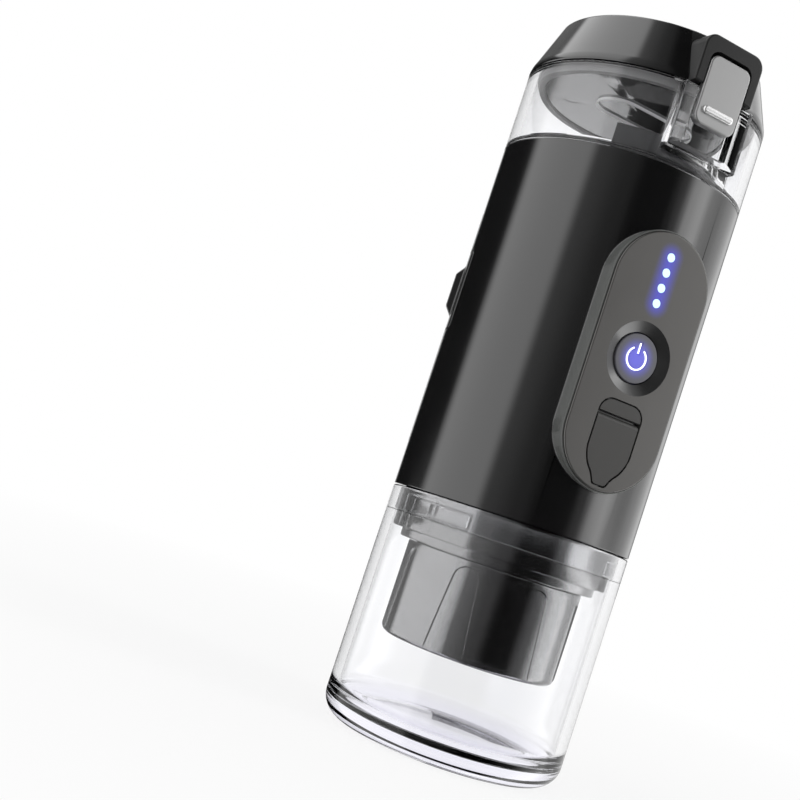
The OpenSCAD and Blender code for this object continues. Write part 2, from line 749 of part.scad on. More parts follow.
// Liner under the lid with a raised oval bead
module lid_liner() {
  color([0.12, 0.12, 0.125]) difference() {
    union() {
      cylinder_at(cavity_r - 0.2, lid_z - 1.8, lid_z);
      cylinder_at(cavity_r - 5.5, lid_z - 1, lid_z + 1);
      difference() {
        translate([0, 0, lid_z - 2.6]) linear_extrude(1) rotate(90) slot(15, 30);
        translate([0, 0, lid_z - 3]) linear_extrude(2) rotate(90) slot(12.4, 27.4);
      }
    }
    for (sx = [-1, 1], sy = [-1, 1]) translate([sx * 18, sy * 12, lid_z - 3]) {
      cylinder(r = 1.3, h = 8);
      cylinder(r = screw_head_r + pocket_gap, h = 1.2 + screw_head_h + pocket_gap);
    }
    translate([-frame_w / 2 - 0.2, -r, lid_z]) cube([frame_w + 0.4, r - cavity_r + 4, 5]);
    translate([-notch_w / 2 - 2.4, hinge_y - knuckle_r - 2.8, lid_z]) cube([notch_w + 4.8, 40, 5]);
  }
}

// Rubber seal round the liner
module lid_seal() {
  color([0.55, 0.55, 0.56]) ring(cavity_r - 0.2, tank_ri - 0.9, lid_z - 2.4, lid_z);
}

// Four screws that hold the liner
module liner_screws() {
  color([0.7, 0.7, 0.7]) for (sx = [-1, 1], sy = [-1, 1]) translate([sx * 18, sy * 12, lid_z - 1.8 + pocket_gap]) {
    cylinder(r = screw_head_r, h = screw_head_h);
    cylinder(r = 1.15, h = 8);
  }
}

// Matte frame that stands out from the lid and holds the lever
module latch_frame() {
  color([0.2, 0.2, 0.2]) difference() {
    union() {
      intersection() {
        translate([-frame_w / 2, 0, 0]) rotate([90, 0, 90]) linear_extrude(frame_w)
          polygon([[-frame_y, lid_z], [-frame_y, frame_top - 0.6], [-frame_y + 0.6, frame_top],
            [-frame_lid_r + 1, frame_top], [-frame_lid_r + 1, lid_z]]);
        plate_y(-r - 10, 0) union() {
          translate([-frame_w / 2, lid_z - 5]) square([frame_w, frame_top - frame_corner - lid_z + 5]);
          translate([-frame_w / 2 + frame_corner, lid_z - 5])
            square([frame_w - 2 * frame_corner, frame_top - lid_z + 5]);
          for (sx = [-1, 1]) translate([sx * (frame_w / 2 - frame_corner), frame_top - frame_corner])
            circle(frame_corner);
        }
      }
      intersection() {
        translate([0, 0, lid_z]) rotate_extrude() lid_section();
        translate([-frame_w / 2, -r - 10, lid_z - 1]) cube([frame_w, r + 10 - frame_back, 60]);
      }
    }
    plate_y(-r - 10, -frame_back - 1.7) union() {
      translate([-lever_w / 2 - 0.4, lid_z - 1]) square([lever_w + 0.8, lever_z1 - 3 - lid_z]);
      translate([0, lever_z1 + 1.1 - 5]) soft_rect(lever_w + 0.8, 10, 3);
    }
    bar_x(latch_pin_d / 2, frame_w - 1, -pivot_y, pivot_z);
  }
}

// Silver lever with a bright rib and a small nose behind
module latch_lever() {
  color([0.66, 0.66, 0.67]) difference() {
    union() {
      plate_y(-lever_y, -lever_y + lever_t) translate([0, (lever_z0 + lever_z1) / 2]) soft_rect(lever_w, lever_h, 2.6);
      bar_x(latch_pin_d / 2 + 1, lever_w - 1, -pivot_y, pivot_z);
      plate_y(-lever_y - 0.9, -lever_y + 0.5) translate([0, lever_z0 + 4.2]) rotate(90) slot(2.2, 10.4);
      translate([-5, -lever_y + lever_t - 0.5, lever_z0 + 1.4]) cube([10, 1, 1.4]);
    }
    bar_x(latch_pin_d / 2 + pin_fit, 40, -pivot_y, pivot_z);
  }
}

// Pin of the latch lever
module latch_pin() {
  color([0.75, 0.75, 0.76]) bar_x(latch_pin_d / 2, frame_w - 1, -pivot_y, pivot_z);
}

// Steel pin of the lid hinge
module hinge_pin() {
  color([0.78, 0.78, 0.79]) bar_x(hinge_pin_d / 2, notch_w + 7.6, hinge_y, hinge_z);
}

cup();
lock_ring();
bayonet_collar();
brew_holder();
filter_basket();
shower_screen();
brew_gasket();
group_head();
housing();
rear_cover();
control_pad();
power_button();
power_icon();
led_lenses();
tact_switch();
flap_anchor();
port_flap();
usb_shell();
usb_tongue();
circuit_board();
board_screws();
chassis_wall();
battery_cells();
battery_holder();
pump_bracket();
pump_motor();
pump_shaft();
pump_head();
inlet_tube();
outlet_tube();
heater_plate();
heater_ring();
temperature_probe();
inlet_strainer();
tank_floor();
tank_gasket();
tank();
lid_shell();
lid_liner();
lid_seal();
liner_screws();
latch_frame();
latch_lever();
latch_pin();
hinge_pin();
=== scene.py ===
# %% [markdown]
# # A portable espresso maker, dressed in Blender
# The measured solids come in as a fixed frame, in metres, with Z up and the control pad facing minus Y.
# This lesson gives them finishes, and remakes the pieces that need finer forms than the solids have.
# Every new piece rides on the body that it belongs to, so the joints keep working.

# %% Load the frame
import math

import bmesh
import bpy
from mathutils import Matrix, Vector


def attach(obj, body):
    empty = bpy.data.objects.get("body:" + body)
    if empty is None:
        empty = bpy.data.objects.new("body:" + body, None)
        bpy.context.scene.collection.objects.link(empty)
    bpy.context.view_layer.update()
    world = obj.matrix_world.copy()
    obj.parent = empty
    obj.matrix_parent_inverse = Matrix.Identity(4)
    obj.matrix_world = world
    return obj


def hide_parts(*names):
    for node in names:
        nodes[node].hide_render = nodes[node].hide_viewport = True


MM = 0.001
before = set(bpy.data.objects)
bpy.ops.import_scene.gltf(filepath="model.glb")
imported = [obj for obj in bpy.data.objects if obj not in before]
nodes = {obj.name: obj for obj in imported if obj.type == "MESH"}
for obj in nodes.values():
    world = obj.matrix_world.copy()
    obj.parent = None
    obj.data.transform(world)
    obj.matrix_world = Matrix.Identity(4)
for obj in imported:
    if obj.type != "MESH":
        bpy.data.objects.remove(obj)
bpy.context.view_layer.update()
print("solids loaded:", len(nodes))

# %% [markdown]
# ## Camera
# The machine leans in the picture because the camera is rolled, while the machine itself stands upright.
# A camera is easiest to place by its own numbers: how far it stands from the upright axis, at which
# angle round it, how high, and then how it is turned. Its matrix is built from three directions, and the
# roll only mixes the first two of them.

# %% Place the camera
CAMERA_DISTANCE = 377.7 * MM
CAMERA_HEIGHT = 63.5 * MM
CAMERA_AZIMUTH = math.radians(-30.81)
CAMERA_YAW = math.radians(7.27)
CAMERA_PITCH = math.radians(2.79)
CAMERA_ROLL = math.radians(18.42)
CAMERA_LENS = 56.92
CAMERA_SHIFT = (0.0386, 0.04)


def aim_camera():
    """Makes the camera and gives it the roll of the picture."""
    place = Vector((math.sin(CAMERA_AZIMUTH), -math.cos(CAMERA_AZIMUTH), 0)) * CAMERA_DISTANCE
    place.z = CAMERA_HEIGHT
    heading = math.atan2(-place.y, -place.x) + CAMERA_YAW
    level = Vector((math.cos(heading), math.sin(heading), 0))
    forward = level * math.cos(CAMERA_PITCH) + Vector((0, 0, math.sin(CAMERA_PITCH)))
    side = Vector((math.sin(heading), -math.cos(heading), 0))
    above = side.cross(forward)
    right = side * math.cos(CAMERA_ROLL) + above * math.sin(CAMERA_ROLL)
    up = above * math.cos(CAMERA_ROLL) - side * math.sin(CAMERA_ROLL)
    data = bpy.data.cameras.new("camera")
    data.sensor_width = 36.0
    data.lens = CAMERA_LENS
    data.shift_x, data.shift_y = CAMERA_SHIFT
    data.clip_start = 0.01
    camera = bpy.data.objects.new("camera", data)
    bpy.context.scene.collection.objects.link(camera)
    turn = Matrix((right, up, -forward)).transposed().to_4x4()
    camera.matrix_world = Matrix.Translation(place) @ turn
    return camera


scene = bpy.context.scene
scene.camera = aim_camera()
print("camera stands at", [round(v, 3) for v in scene.camera.matrix_world.translation])

# %% [markdown]
# ## Helpers for nodes
# The room and the finishes are built from nodes, and most of these are sums and ranges. A node tree could
# be drawn by hand in the editor. In a script it reads best when each such node is one call, which takes
# numbers or the outputs of other nodes and gives back its own output.

# %% Node helpers
scene.view_settings.view_transform = "Standard"
scene.cycles.blur_glossy = 0.0


def link(tree, source, target):
    """Joins an output socket to an input socket."""
    tree.links.new(source, target)


def feed(tree, socket, value):
    """Gives an input socket a value, or joins it to an output socket."""
    if isinstance(value, bpy.types.NodeSocket):
        link(tree, value, socket)
    else:
        socket.default_value = value


def math_node(tree, operation, *values):
    """Result of a Math node."""
    node = tree.nodes.new("ShaderNodeMath")
    node.operation = operation
    for socket, value in zip(node.inputs, values):
        feed(tree, socket, value)
    return node.outputs["Value"]


def range_node(tree, value, start, end, low=0.0, high=1.0, smooth=False):
    """Result of a Map Range node."""
    node = tree.nodes.new("ShaderNodeMapRange")
    if smooth:
        node.interpolation_type = "SMOOTHSTEP"
    given = {"Value": value, "From Min": start, "From Max": end, "To Min": low, "To Max": high}
    for label, number in given.items():
        feed(tree, node.inputs[label], number)
    return node.outputs["Result"]


print("node helpers ready")

# %% [markdown]
# ## Bands of the room
# A glossy black round body shows hardly any colour of its own: what the eye sees on it is the room.
# In a product studio that room is white, with dark boards called flags between the lights, and the flags
# draw the dark bands on the body. A picture of a studio could stand in for the room, but a ramp over the
# angle round the machine gives the same bands with a few numbers that are easy to move.

# %% Bands
CAMERA_SIDE = math.atan2(-math.cos(CAMERA_AZIMUTH), math.sin(CAMERA_AZIMUTH))
# brightness of the room by the angle from the camera, in degrees to the right as the machine sees it
ROOM_BANDS = (
    (-180, 0.95), (-168, 0.90), (-158, 0.01), (-102, 0.01), (-89, 1.45), (-38, 1.35), (-27, 0.30), (4, 0.12),
    (20, 0.015), (46, 0.02), (60, 0.26), (72, 1.9), (84, 2.2), (96, 1.0), (108, 0.7), (150, 0.8),
    (172, 0.02), (180, 0.02),
)
# the bands start and end straight behind the machine, but for this turn to the left
ROOM_TURN = math.radians(1.0)


def ray_direction(tree):
    """Direction of a ray in three parts: towards the camera, across and up."""
    place = tree.nodes.new("ShaderNodeTexCoord")
    turn = tree.nodes.new("ShaderNodeMapping")
    turn.inputs["Rotation"].default_value = (0, 0, -CAMERA_SIDE - ROOM_TURN)
    split = tree.nodes.new("ShaderNodeSeparateXYZ")
    link(tree, place.outputs["Generated"], turn.inputs["Vector"])
    link(tree, turn.outputs["Vector"], split.inputs["Vector"])
    return split.outputs["X"], split.outputs["Y"], split.outputs["Z"]


def band_ramp(tree, towards, across):
    """Brightness of the bands by the angle of a level direction."""
    flat = tree.nodes.new("ShaderNodeCombineXYZ")
    wheel = tree.nodes.new("ShaderNodeTexGradient")
    wheel.gradient_type = "RADIAL"
    ramp = tree.nodes.new("ShaderNodeValToRGB")
    ramp.color_ramp.interpolation = "EASE"
    stops = ramp.color_ramp.elements
    for angle, value in ROOM_BANDS[1:-1]:
        stops.new(angle / 360 + 0.5)
    for stop, (angle, value) in zip(stops, ROOM_BANDS):
        stop.color = (value, value, value, 1)
    link(tree, towards, flat.inputs["X"])
    link(tree, across, flat.inputs["Y"])
    link(tree, flat.outputs["Vector"], wheel.inputs["Vector"])
    link(tree, wheel.outputs["Color"], ramp.inputs["Fac"])
    return ramp.outputs["Color"]


print("bands in the room:", len(ROOM_BANDS))

# %% [markdown]
# ## Room above and below
# A ramp alone would draw the same bands at every height. In a studio a big soft light also hangs overhead, so
# the bands get brighter there. Overhead and near the floor they also reach further back. Parts of a
# direction run from minus one to one, and the ranges below are given in them.

# %% Room
# where the overhead light starts and is full, by the height of a direction, and its factor
OVERHEAD_RISE = (0.28, 0.60)
OVERHEAD_GAIN = 1.15
# how far the bands reach back, and where this starts and is full overhead and near the floor
REACH_BACK = 0.42
REACH_OVERHEAD = (0.35, -0.10)
REACH_LOW = (0.75, -0.10)
NEAR_FLOOR = (0.0, -0.03)
# overhead and behind the machine the bands are never darker than this
LEAST_OVERHEAD = 0.20
BEHIND = (0.0, -0.25)


def make_room(tree, towards, across, up):
    """Background with the bands, as mirrored rays see it."""
    overhead = range_node(tree, up, *OVERHEAD_RISE, smooth=True)
    low = range_node(tree, up, *NEAR_FLOOR)
    back_overhead = range_node(tree, towards, *REACH_OVERHEAD, high=REACH_BACK)
    back_low = range_node(tree, towards, *REACH_LOW, high=REACH_BACK)
    leaned = math_node(tree, "MULTIPLY_ADD", low, back_low, towards)
    leaned = math_node(tree, "MULTIPLY_ADD", overhead, back_overhead, leaned)
    behind = range_node(tree, towards, *BEHIND, high=LEAST_OVERHEAD)
    least = math_node(tree, "MULTIPLY", behind, overhead)
    room = tree.nodes.new("ShaderNodeBackground")
    link(tree, math_node(tree, "MAXIMUM", band_ramp(tree, leaned, across), least), room.inputs["Color"])
    gain = math_node(tree, "MULTIPLY_ADD", overhead, OVERHEAD_GAIN - 1, 1.0)
    link(tree, gain, room.inputs["Strength"])
    return room.outputs["Background"]


print("overhead gain:", OVERHEAD_GAIN)

# %% [markdown]
# ## Who sees the room
# Rays that were mirrored see the room with its flags, rays that were scattered get an even soft light, and
# all others see plain white. A ray that is only thrown sideways inside one clear wall sees white too, so
# that the edges of clear pieces stay light. So does one that rises after it has crossed two clear walls, so
# that the clear cup's floor stays light. The world isn't sampled as a lamp, because such samples wouldn't
# know which kind of ray asked.

# %% World
AMBIENT_STRENGTH = 0.6
# a ray inside one clear wall has met its faces up to three times, and after two walls four times
ONE_WALL = (2.0, 1.5)
TWO_WALLS = 3.5
SIDEWAYS = (0.5, 0.1)
RISING = 0.04


def mix_shader(tree, share, first, second):
    """Result of a Mix Shader node."""
    node = tree.nodes.new("ShaderNodeMixShader")
    link(tree, share, node.inputs["Fac"])
    link(tree, first, node.inputs[1])
    link(tree, second, node.inputs[2])
    return node.outputs["Shader"]


def more_than_none(tree, count):
    """Turns a count of bounces into yes or no."""
    return math_node(tree, "GREATER_THAN", count, 0.5)


def white_light(tree, strength):
    """Plain white background."""
    node = tree.nodes.new("ShaderNodeBackground")
    node.inputs["Color"].default_value = (1, 1, 1, 1)
    node.inputs["Strength"].default_value = strength
    return node.outputs["Background"]


def make_world():
    """World whose mirrored rays see dark flags."""
    world = bpy.data.worlds.new("studio")
    scene.world = world
    world.use_nodes = True
    world.cycles.sampling_method = "NONE"
    tree = world.node_tree
    tree.nodes.clear()
    towards, across, up = ray_direction(tree)
    path = tree.nodes.new("ShaderNodeLightPath")
    faces_met = path.outputs["Transmission Depth"]
    in_one_wall = math_node(tree, "COMPARE", faces_met, *ONE_WALL)
    sideways = range_node(tree, towards, *SIDEWAYS)
    edge_light = math_node(tree, "MULTIPLY", in_one_wall, sideways)
    rising = math_node(tree, "GREATER_THAN", up, RISING)
    past_two = math_node(tree, "GREATER_THAN", faces_met, TWO_WALLS)
    bright = math_node(tree, "MULTIPLY_ADD", rising, past_two, edge_light)
    mirrored = more_than_none(tree, path.outputs["Glossy Depth"])
    flagged = math_node(tree, "MULTIPLY", mirrored, math_node(tree, "SUBTRACT", 1.0, bright))
    scattered = more_than_none(tree, path.outputs["Diffuse Depth"])
    even = mix_shader(tree, scattered, white_light(tree, 1.0), white_light(tree, AMBIENT_STRENGTH))
    seen = mix_shader(tree, flagged, even, make_room(tree, towards, across, up))
    out = tree.nodes.new("ShaderNodeOutputWorld")
    link(tree, seen, out.inputs["Surface"])
    return len(tree.nodes)


print("nodes in the world:", make_world())

# %% [markdown]
# ## Lamps
# Two area lamps give direction to the even light: a wide soft one on the left and a tall strip on the right.
# They are kept out of reflections, which the room's bands draw alone.

# %% Lamps
LAMP_LEFT_WATTS = 1.6
LAMP_RIGHT_WATTS = 2.0
LAMP_AIM = Vector((0, 0, 0.11))


def area_lamp(name, angle, distance, height, size, watts):
    """Area lamp at an angle to the right of the camera, turned to the middle of the machine."""
    data = bpy.data.lights.new(name, "AREA")
    data.shape = "RECTANGLE"
    data.size, data.size_y = size
    data.energy = watts
    lamp = bpy.data.objects.new(name, data)
    scene.collection.objects.link(lamp)
    around = CAMERA_SIDE + math.radians(angle)
    place = Vector((math.cos(around) * distance, math.sin(around) * distance, height))
    aim = (LAMP_AIM - place).to_track_quat("-Z", "Y")
    lamp.matrix_world = Matrix.Translation(place) @ aim.to_matrix().to_4x4()
    lamp.visible_glossy = False
    lamp.visible_transmission = False


area_lamp("lamp_left", -62, 0.60, 0.34, (0.45, 0.50), LAMP_LEFT_WATTS)
area_lamp("lamp_right", 82, 0.60, 0.30, (0.16, 0.60), LAMP_RIGHT_WATTS)
print("lamps:", len(bpy.data.lights))

# %% [markdown]
# ## Floor
# The floor is a pale plane. Most of what the camera sees of it is plain white, and all of it further off, so
# that it meets the background without a line. Near the machine a part of it is real diffuse white, which
# keeps a soft shadow. Mirrored rays pass through the floor, so that the bands run down to the foot of every
# glossy piece.

# %% Floor
FLOOR_WHITE_SHARE = 0.82
# distances from the machine, in metres, over which the floor turns plain white
FLOOR_FADE = (0.08, 0.45)


def length_node(tree, vector):
    """Length of a vector."""
    node = tree.nodes.new("ShaderNodeVectorMath")
    node.operation = "LENGTH"
    link(tree, vector, node.inputs[0])
    return node.outputs["Value"]


def make_floor():
    """Pale floor that the camera sees as nearly plain white."""
    shape = bmesh.new()
    bmesh.ops.create_grid(shape, x_segments=1, y_segments=1, size=6.0)
    mesh = bpy.data.meshes.new("floor")
    shape.to_mesh(mesh)
    shape.free()
    floor = bpy.data.objects.new("floor", mesh)
    scene.collection.objects.link(floor)
    paint = bpy.data.materials.new("floor_paint")
    paint.use_nodes = True
    tree = paint.node_tree
    tree.nodes.clear()
    matt = tree.nodes.new("ShaderNodeBsdfDiffuse")
    matt.inputs["Color"].default_value = (0.86, 0.86, 0.86, 1)
    glow = tree.nodes.new("ShaderNodeEmission")
    gap = tree.nodes.new("ShaderNodeBsdfTransparent")
    path = tree.nodes.new("ShaderNodeLightPath")
    place = tree.nodes.new("ShaderNodeTexCoord")
    reach = length_node(tree, place.outputs["Object"])
    white = range_node(tree, reach, *FLOOR_FADE, low=FLOOR_WHITE_SHARE)
    seen = math_node(tree, "MAXIMUM", path.outputs["Is Camera Ray"], path.outputs["Is Transmission Ray"])
    share = math_node(tree, "MULTIPLY", seen, white)
    pale = mix_shader(tree, share, matt.outputs["BSDF"], glow.outputs["Emission"])
    mirrored = more_than_none(tree, path.outputs["Glossy Depth"])
    passed = mix_shader(tree, mirrored, pale, gap.outputs["BSDF"])
    out = tree.nodes.new("ShaderNodeOutputMaterial")
    link(tree, passed, out.inputs["Surface"])
    mesh.materials.append(paint)
    return floor


print("floor is", round(make_floor().dimensions.x, 1), "m wide")

# %% [markdown]
# ## Moulded grain
# No moulded face is perfectly even: its gloss drifts a little from place to place, and a fine grain breaks
# up the light. Both effects are wanted in nearly every finish, so they are one node group, and each
# material sets its own size and strength. The group puts out only values that change over the surface.

# %% Node group for grain
NUMBER = "NodeSocketFloat"


def new_group(name, inputs, outputs):
    """Empty node group with number sockets; inputs are given with their defaults."""
    group = bpy.data.node_groups.new(name, "ShaderNodeTree")
    for label, value in inputs.items():
        socket = group.interface.new_socket(label, in_out="INPUT", socket_type=NUMBER)
        socket.default_value = value
    for label in outputs:
        group.interface.new_socket(label, in_out="OUTPUT", socket_type=NUMBER)
    start = group.nodes.new("NodeGroupInput")
    end = group.nodes.new("NodeGroupOutput")
    return group, start.outputs, end.inputs


def make_grain_group():
    """Cloudy gloss and a fine grain, both from noise in object coordinates."""
    group, given, made = new_group(
        "moulded_grain", {"Cloud Scale": 60.0, "Grain Scale": 2500.0, "Smooth": 0.2, "Dull": 0.3},
        ("Roughness", "Height", "Tone"))
    place = group.nodes.new("ShaderNodeTexCoord")
    noises = []
    for scale, detail in (("Cloud Scale", 3.0), ("Grain Scale", 2.0)):
        noise = group.nodes.new("ShaderNodeTexNoise")
        noise.inputs["Detail"].default_value = detail
        link(group, place.outputs["Object"], noise.inputs["Vector"])
        link(group, given[scale], noise.inputs["Scale"])
        noises.append(noise.outputs["Fac"])
    cloud, grain = noises
    link(group, range_node(group, cloud, 0.3, 0.7, given["Smooth"], given["Dull"]), made["Roughness"])
    link(group, grain, made["Height"])
    link(group, cloud, made["Tone"])
    return group


GRAIN = make_grain_group()
print("group sockets:", len(GRAIN.interface.items_tree))

# %% [markdown]
# ## Opaque finishes
# The opaque finishes differ in colour, gloss, grain and in how metallic they are. One function builds
# them all: the grain group gives roughness and a small bump, and a two-stop mix gives the slight change
# of tone. Numbers that are the same all over the surface are set on the shader itself.

# %% Function for opaque finishes


def grey(value):
    """Colour without a hue."""
    return (value, value, value)


def colour_mix(tree, share, first, second):
    """Result of a Mix node for colours."""
    node = tree.nodes.new("ShaderNodeMix")
    node.data_type = "RGBA"
    link(tree, share, node.inputs["Factor"])
    feed(tree, node.inputs["A"], first)
    feed(tree, node.inputs["B"], second)
    return node.outputs["Result"]


def finish(name, dark, light, smooth, dull, grain=2500.0, bump=0.05, metallic=0.0, **plain):
    """Material with cloudy gloss and fine grain; the other values go straight to the shader."""
    material = bpy.data.materials.new(name)
    material.use_nodes = True
    tree = material.node_tree
    shader = tree.nodes["Principled BSDF"]
    group = tree.nodes.new("ShaderNodeGroup")
    group.node_tree = GRAIN
    group.inputs["Grain Scale"].default_value = grain
    group.inputs["Smooth"].default_value = smooth
    group.inputs["Dull"].default_value = dull
    tone = colour_mix(tree, group.outputs["Tone"], (*dark, 1), (*light, 1))
    lift = tree.nodes.new("ShaderNodeBump")
    lift.inputs["Strength"].default_value = bump
    lift.inputs["Distance"].default_value = 0.1 * MM
    link(tree, tone, shader.inputs["Base Color"])
    link(tree, group.outputs["Roughness"], shader.inputs["Roughness"])
    link(tree, group.outputs["Height"], lift.inputs["Height"])
    link(tree, lift.outputs["Normal"], shader.inputs["Normal"])
    shader.inputs["Metallic"].default_value = metallic
    for label, value in plain.items():
        shader.inputs[label.replace("_", " ").title().replace("Ior", "IOR")].default_value = value
    return material


print("finish tool ready")

# %% [markdown]
# ## Finishes of the machine
# From outside the machine is glossy black, satin grey and a little silver. The black has a clear coat, which
# lays a sharp reflection over a softer one. The collar and the holder are smooth dark metal. Most inner
# pieces only show when the machine is taken apart, so a plain finish for each material is enough there.

# %% Finishes that show from outside
GLOSS_BLACK = finish("gloss_black", (0.0035, 0.0035, 0.0037), (0.005, 0.005, 0.0052), 0.16, 0.20,
                     bump=0.006, coat_weight=1.0, coat_roughness=0.08, coat_ior=1.6)
HOLDER_GREY = finish("holder_grey", grey(0.26), grey(0.29), 0.07, 0.10, bump=0.0, metallic=1.0)
COLLAR_GREY = finish("collar_grey", grey(0.24), grey(0.27), 0.08, 0.11, bump=0.0, metallic=1.0)
LINER_GLOSS = finish("liner_gloss", grey(0.005), grey(0.007), 0.05, 0.07, bump=0.0,
                     coat_weight=1.0, coat_roughness=0.03, coat_ior=1.6)
LID_RUBBER = finish("lid_rubber", grey(0.16), grey(0.20), 0.42, 0.50, bump=0.04)
# pale colour of the liner bead: a painted highlight along its raised edge
BEAD_PAINTED_HIGHLIGHT = finish("bead_painted_highlight", grey(0.78), grey(0.84), 0.30, 0.36, bump=0.0)
PAD_GREY = finish("pad_grey", (0.115, 0.112, 0.108), (0.132, 0.129, 0.125), 0.22, 0.27, bump=0.02,
                  metallic=0.6)
FRAME_GREY = finish("frame_grey", grey(0.013), grey(0.018), 0.30, 0.38, bump=0.06, specular_ior_level=0.35)
LEVER_SILVER = finish("lever_silver", grey(0.41), grey(0.45), 0.34, 0.40, bump=0.02, metallic=0.8)
RIB_SILVER = finish("rib_silver", grey(0.90), grey(0.94), 0.22, 0.28, bump=0.0, metallic=0.8)
FLAP_RUBBER = finish("flap_rubber", (0.058, 0.057, 0.055), (0.070, 0.069, 0.067), 0.34, 0.40,
                     grain=1800.0, metallic=0.3)
TANK_BASE = finish("tank_base", (0.018, 0.018, 0.019), (0.028, 0.028, 0.029), 0.22, 0.28, bump=0.03)
STEEL = finish("steel", grey(0.60), grey(0.70), 0.14, 0.20, bump=0.02, metallic=1.0)
DISH_METAL = finish("dish_metal", grey(0.12), grey(0.14), 0.20, 0.25, bump=0.0, metallic=0.85)
RIM_SATIN = finish("rim_satin", (0.075, 0.078, 0.075), (0.095, 0.098, 0.095), 0.30, 0.36, bump=0.04)
print("materials so far:", len(bpy.data.materials))

# %% Finishes of the inner pieces
SEAL_RUBBER = finish("seal_rubber", (0.55, 0.55, 0.54), (0.64, 0.64, 0.63), 0.42, 0.50, bump=0.06)
INNER_DARK = finish("inner_dark", (0.020, 0.020, 0.021), (0.030, 0.030, 0.031), 0.40, 0.48, bump=0.06)
MOTOR_CAN = finish("motor_can", (0.50, 0.50, 0.51), (0.58, 0.58, 0.59), 0.26, 0.34, bump=0.03, metallic=1.0)
GROUP_METAL = finish("group_metal", (0.44, 0.44, 0.45), (0.52, 0.52, 0.53), 0.28, 0.36, bump=0.04,
                     metallic=1.0)
BOARD_GREEN = finish("board_green", (0.010, 0.075, 0.030), (0.016, 0.10, 0.042), 0.30, 0.38)
CELL_BLUE = finish("cell_blue", (0.020, 0.090, 0.26), (0.030, 0.115, 0.31), 0.24, 0.30, bump=0.02)
PUMP_WHITE = finish("pump_white", (0.62, 0.61, 0.58), (0.70, 0.69, 0.66), 0.38, 0.46)
HEATER_BRASS = finish("heater_brass", (0.50, 0.36, 0.14), (0.58, 0.43, 0.18), 0.26, 0.34, bump=0.04,
                      metallic=1.0)
HOSE = finish("hose", (0.66, 0.66, 0.64), (0.74, 0.74, 0.72), 0.30, 0.38, bump=0.03)
print("materials with the inner ones:", len(bpy.data.materials))

# %% [markdown]
# ## Clear plastic
# The cup and the tank are thick clear plastic. A Principled shader with full transmission bends the light as
# the real plastic does, but lamps would then cast black shadows through it, so shadow rays meet
# a nearly clear shader instead. A faint cool tint comes and goes over the wall, and the thick foot of the cup
# is a little violet, so a range over the height mixes that colour in.

# %% Clear finish
FOOT_VIOLET = (0.90, 0.89, 0.985)
# heights where the violet starts and is full
VIOLET_RANGE = (12 * MM, 3 * MM)


def clear_finish(name, tint, roughness):
    """Clear plastic that lets the lamps through."""
    material = bpy.data.materials.new(name)
    material.use_nodes = True
    tree = material.node_tree
    shader = tree.nodes["Principled BSDF"]
    shader.inputs["Transmission Weight"].default_value = 1.0
    shader.inputs["IOR"].default_value = 1.47
    group = tree.nodes.new("ShaderNodeGroup")
    group.node_tree = GRAIN
    group.inputs["Cloud Scale"].default_value = 45.0
    group.inputs["Smooth"].default_value = 0.0
    group.inputs["Dull"].default_value = roughness
    place = tree.nodes.new("ShaderNodeTexCoord")
    split = tree.nodes.new("ShaderNodeSeparateXYZ")
    link(tree, place.outputs["Object"], split.inputs["Vector"])
    tone = colour_mix(tree, group.outputs["Tone"], (*tint, 1), (1, 1, 1, 1))
    foot = range_node(tree, split.outputs["Z"], *VIOLET_RANGE)
    link(tree, colour_mix(tree, foot, tone, (*FOOT_VIOLET, 1)), shader.inputs["Base Color"])
    link(tree, group.outputs["Roughness"], shader.inputs["Roughness"])
    veil = tree.nodes.new("ShaderNodeBsdfTransparent")
    veil.inputs["Color"].default_value = (0.94, 0.94, 0.95, 1)
    path = tree.nodes.new("ShaderNodeLightPath")
    seen = mix_shader(tree, path.outputs["Is Shadow Ray"], shader.outputs["BSDF"], veil.outputs["BSDF"])
    link(tree, seen, tree.nodes["Material Output"].inputs["Surface"])
    return material


CLEAR_CUP = clear_finish("clear_plastic", (0.96, 0.965, 0.985), 0.02)
print("clear finish:", CLEAR_CUP.name)

# %% [markdown]
# ## Light halo
# The lit sign and the battery lights glow on the face round them, and this glow is painted into the face's
# emission: the face is brightest at the light and fades out within a few millimetres. The distance from an
# upright line on the face gives this painted halo. The line has no length for the sign and reaches from the
# first to the last light for the row of lights.

# %% Node group for the halo


def make_halo_group():
    """Fades from one to none with the distance from an upright line on the front face."""
    group, given, made = new_group(
        "light_halo", {"Height": 0.12, "Half Length": 0.0, "Near": 0.001, "Far": 0.004}, ("Halo",))
    place = group.nodes.new("ShaderNodeTexCoord")
    split = group.nodes.new("ShaderNodeSeparateXYZ")
    join = group.nodes.new("ShaderNodeCombineXYZ")
    link(group, place.outputs["Object"], split.inputs["Vector"])
    rise = math_node(group, "SUBTRACT", split.outputs["Z"], given["Height"])
    beyond = math_node(group, "SUBTRACT", math_node(group, "ABSOLUTE", rise), given["Half Length"])
    link(group, split.outputs["X"], join.inputs["X"])
    link(group, math_node(group, "MAXIMUM", beyond, 0.0), join.inputs["Z"])
    reach = length_node(group, join.outputs["Vector"])
    halo = range_node(group, reach, given["Near"], given["Far"], 1.0, 0.0, smooth=True)
    link(group, halo, made["Halo"])
    return group


HALO = make_halo_group()
print("halo sockets:", len(HALO.interface.items_tree))
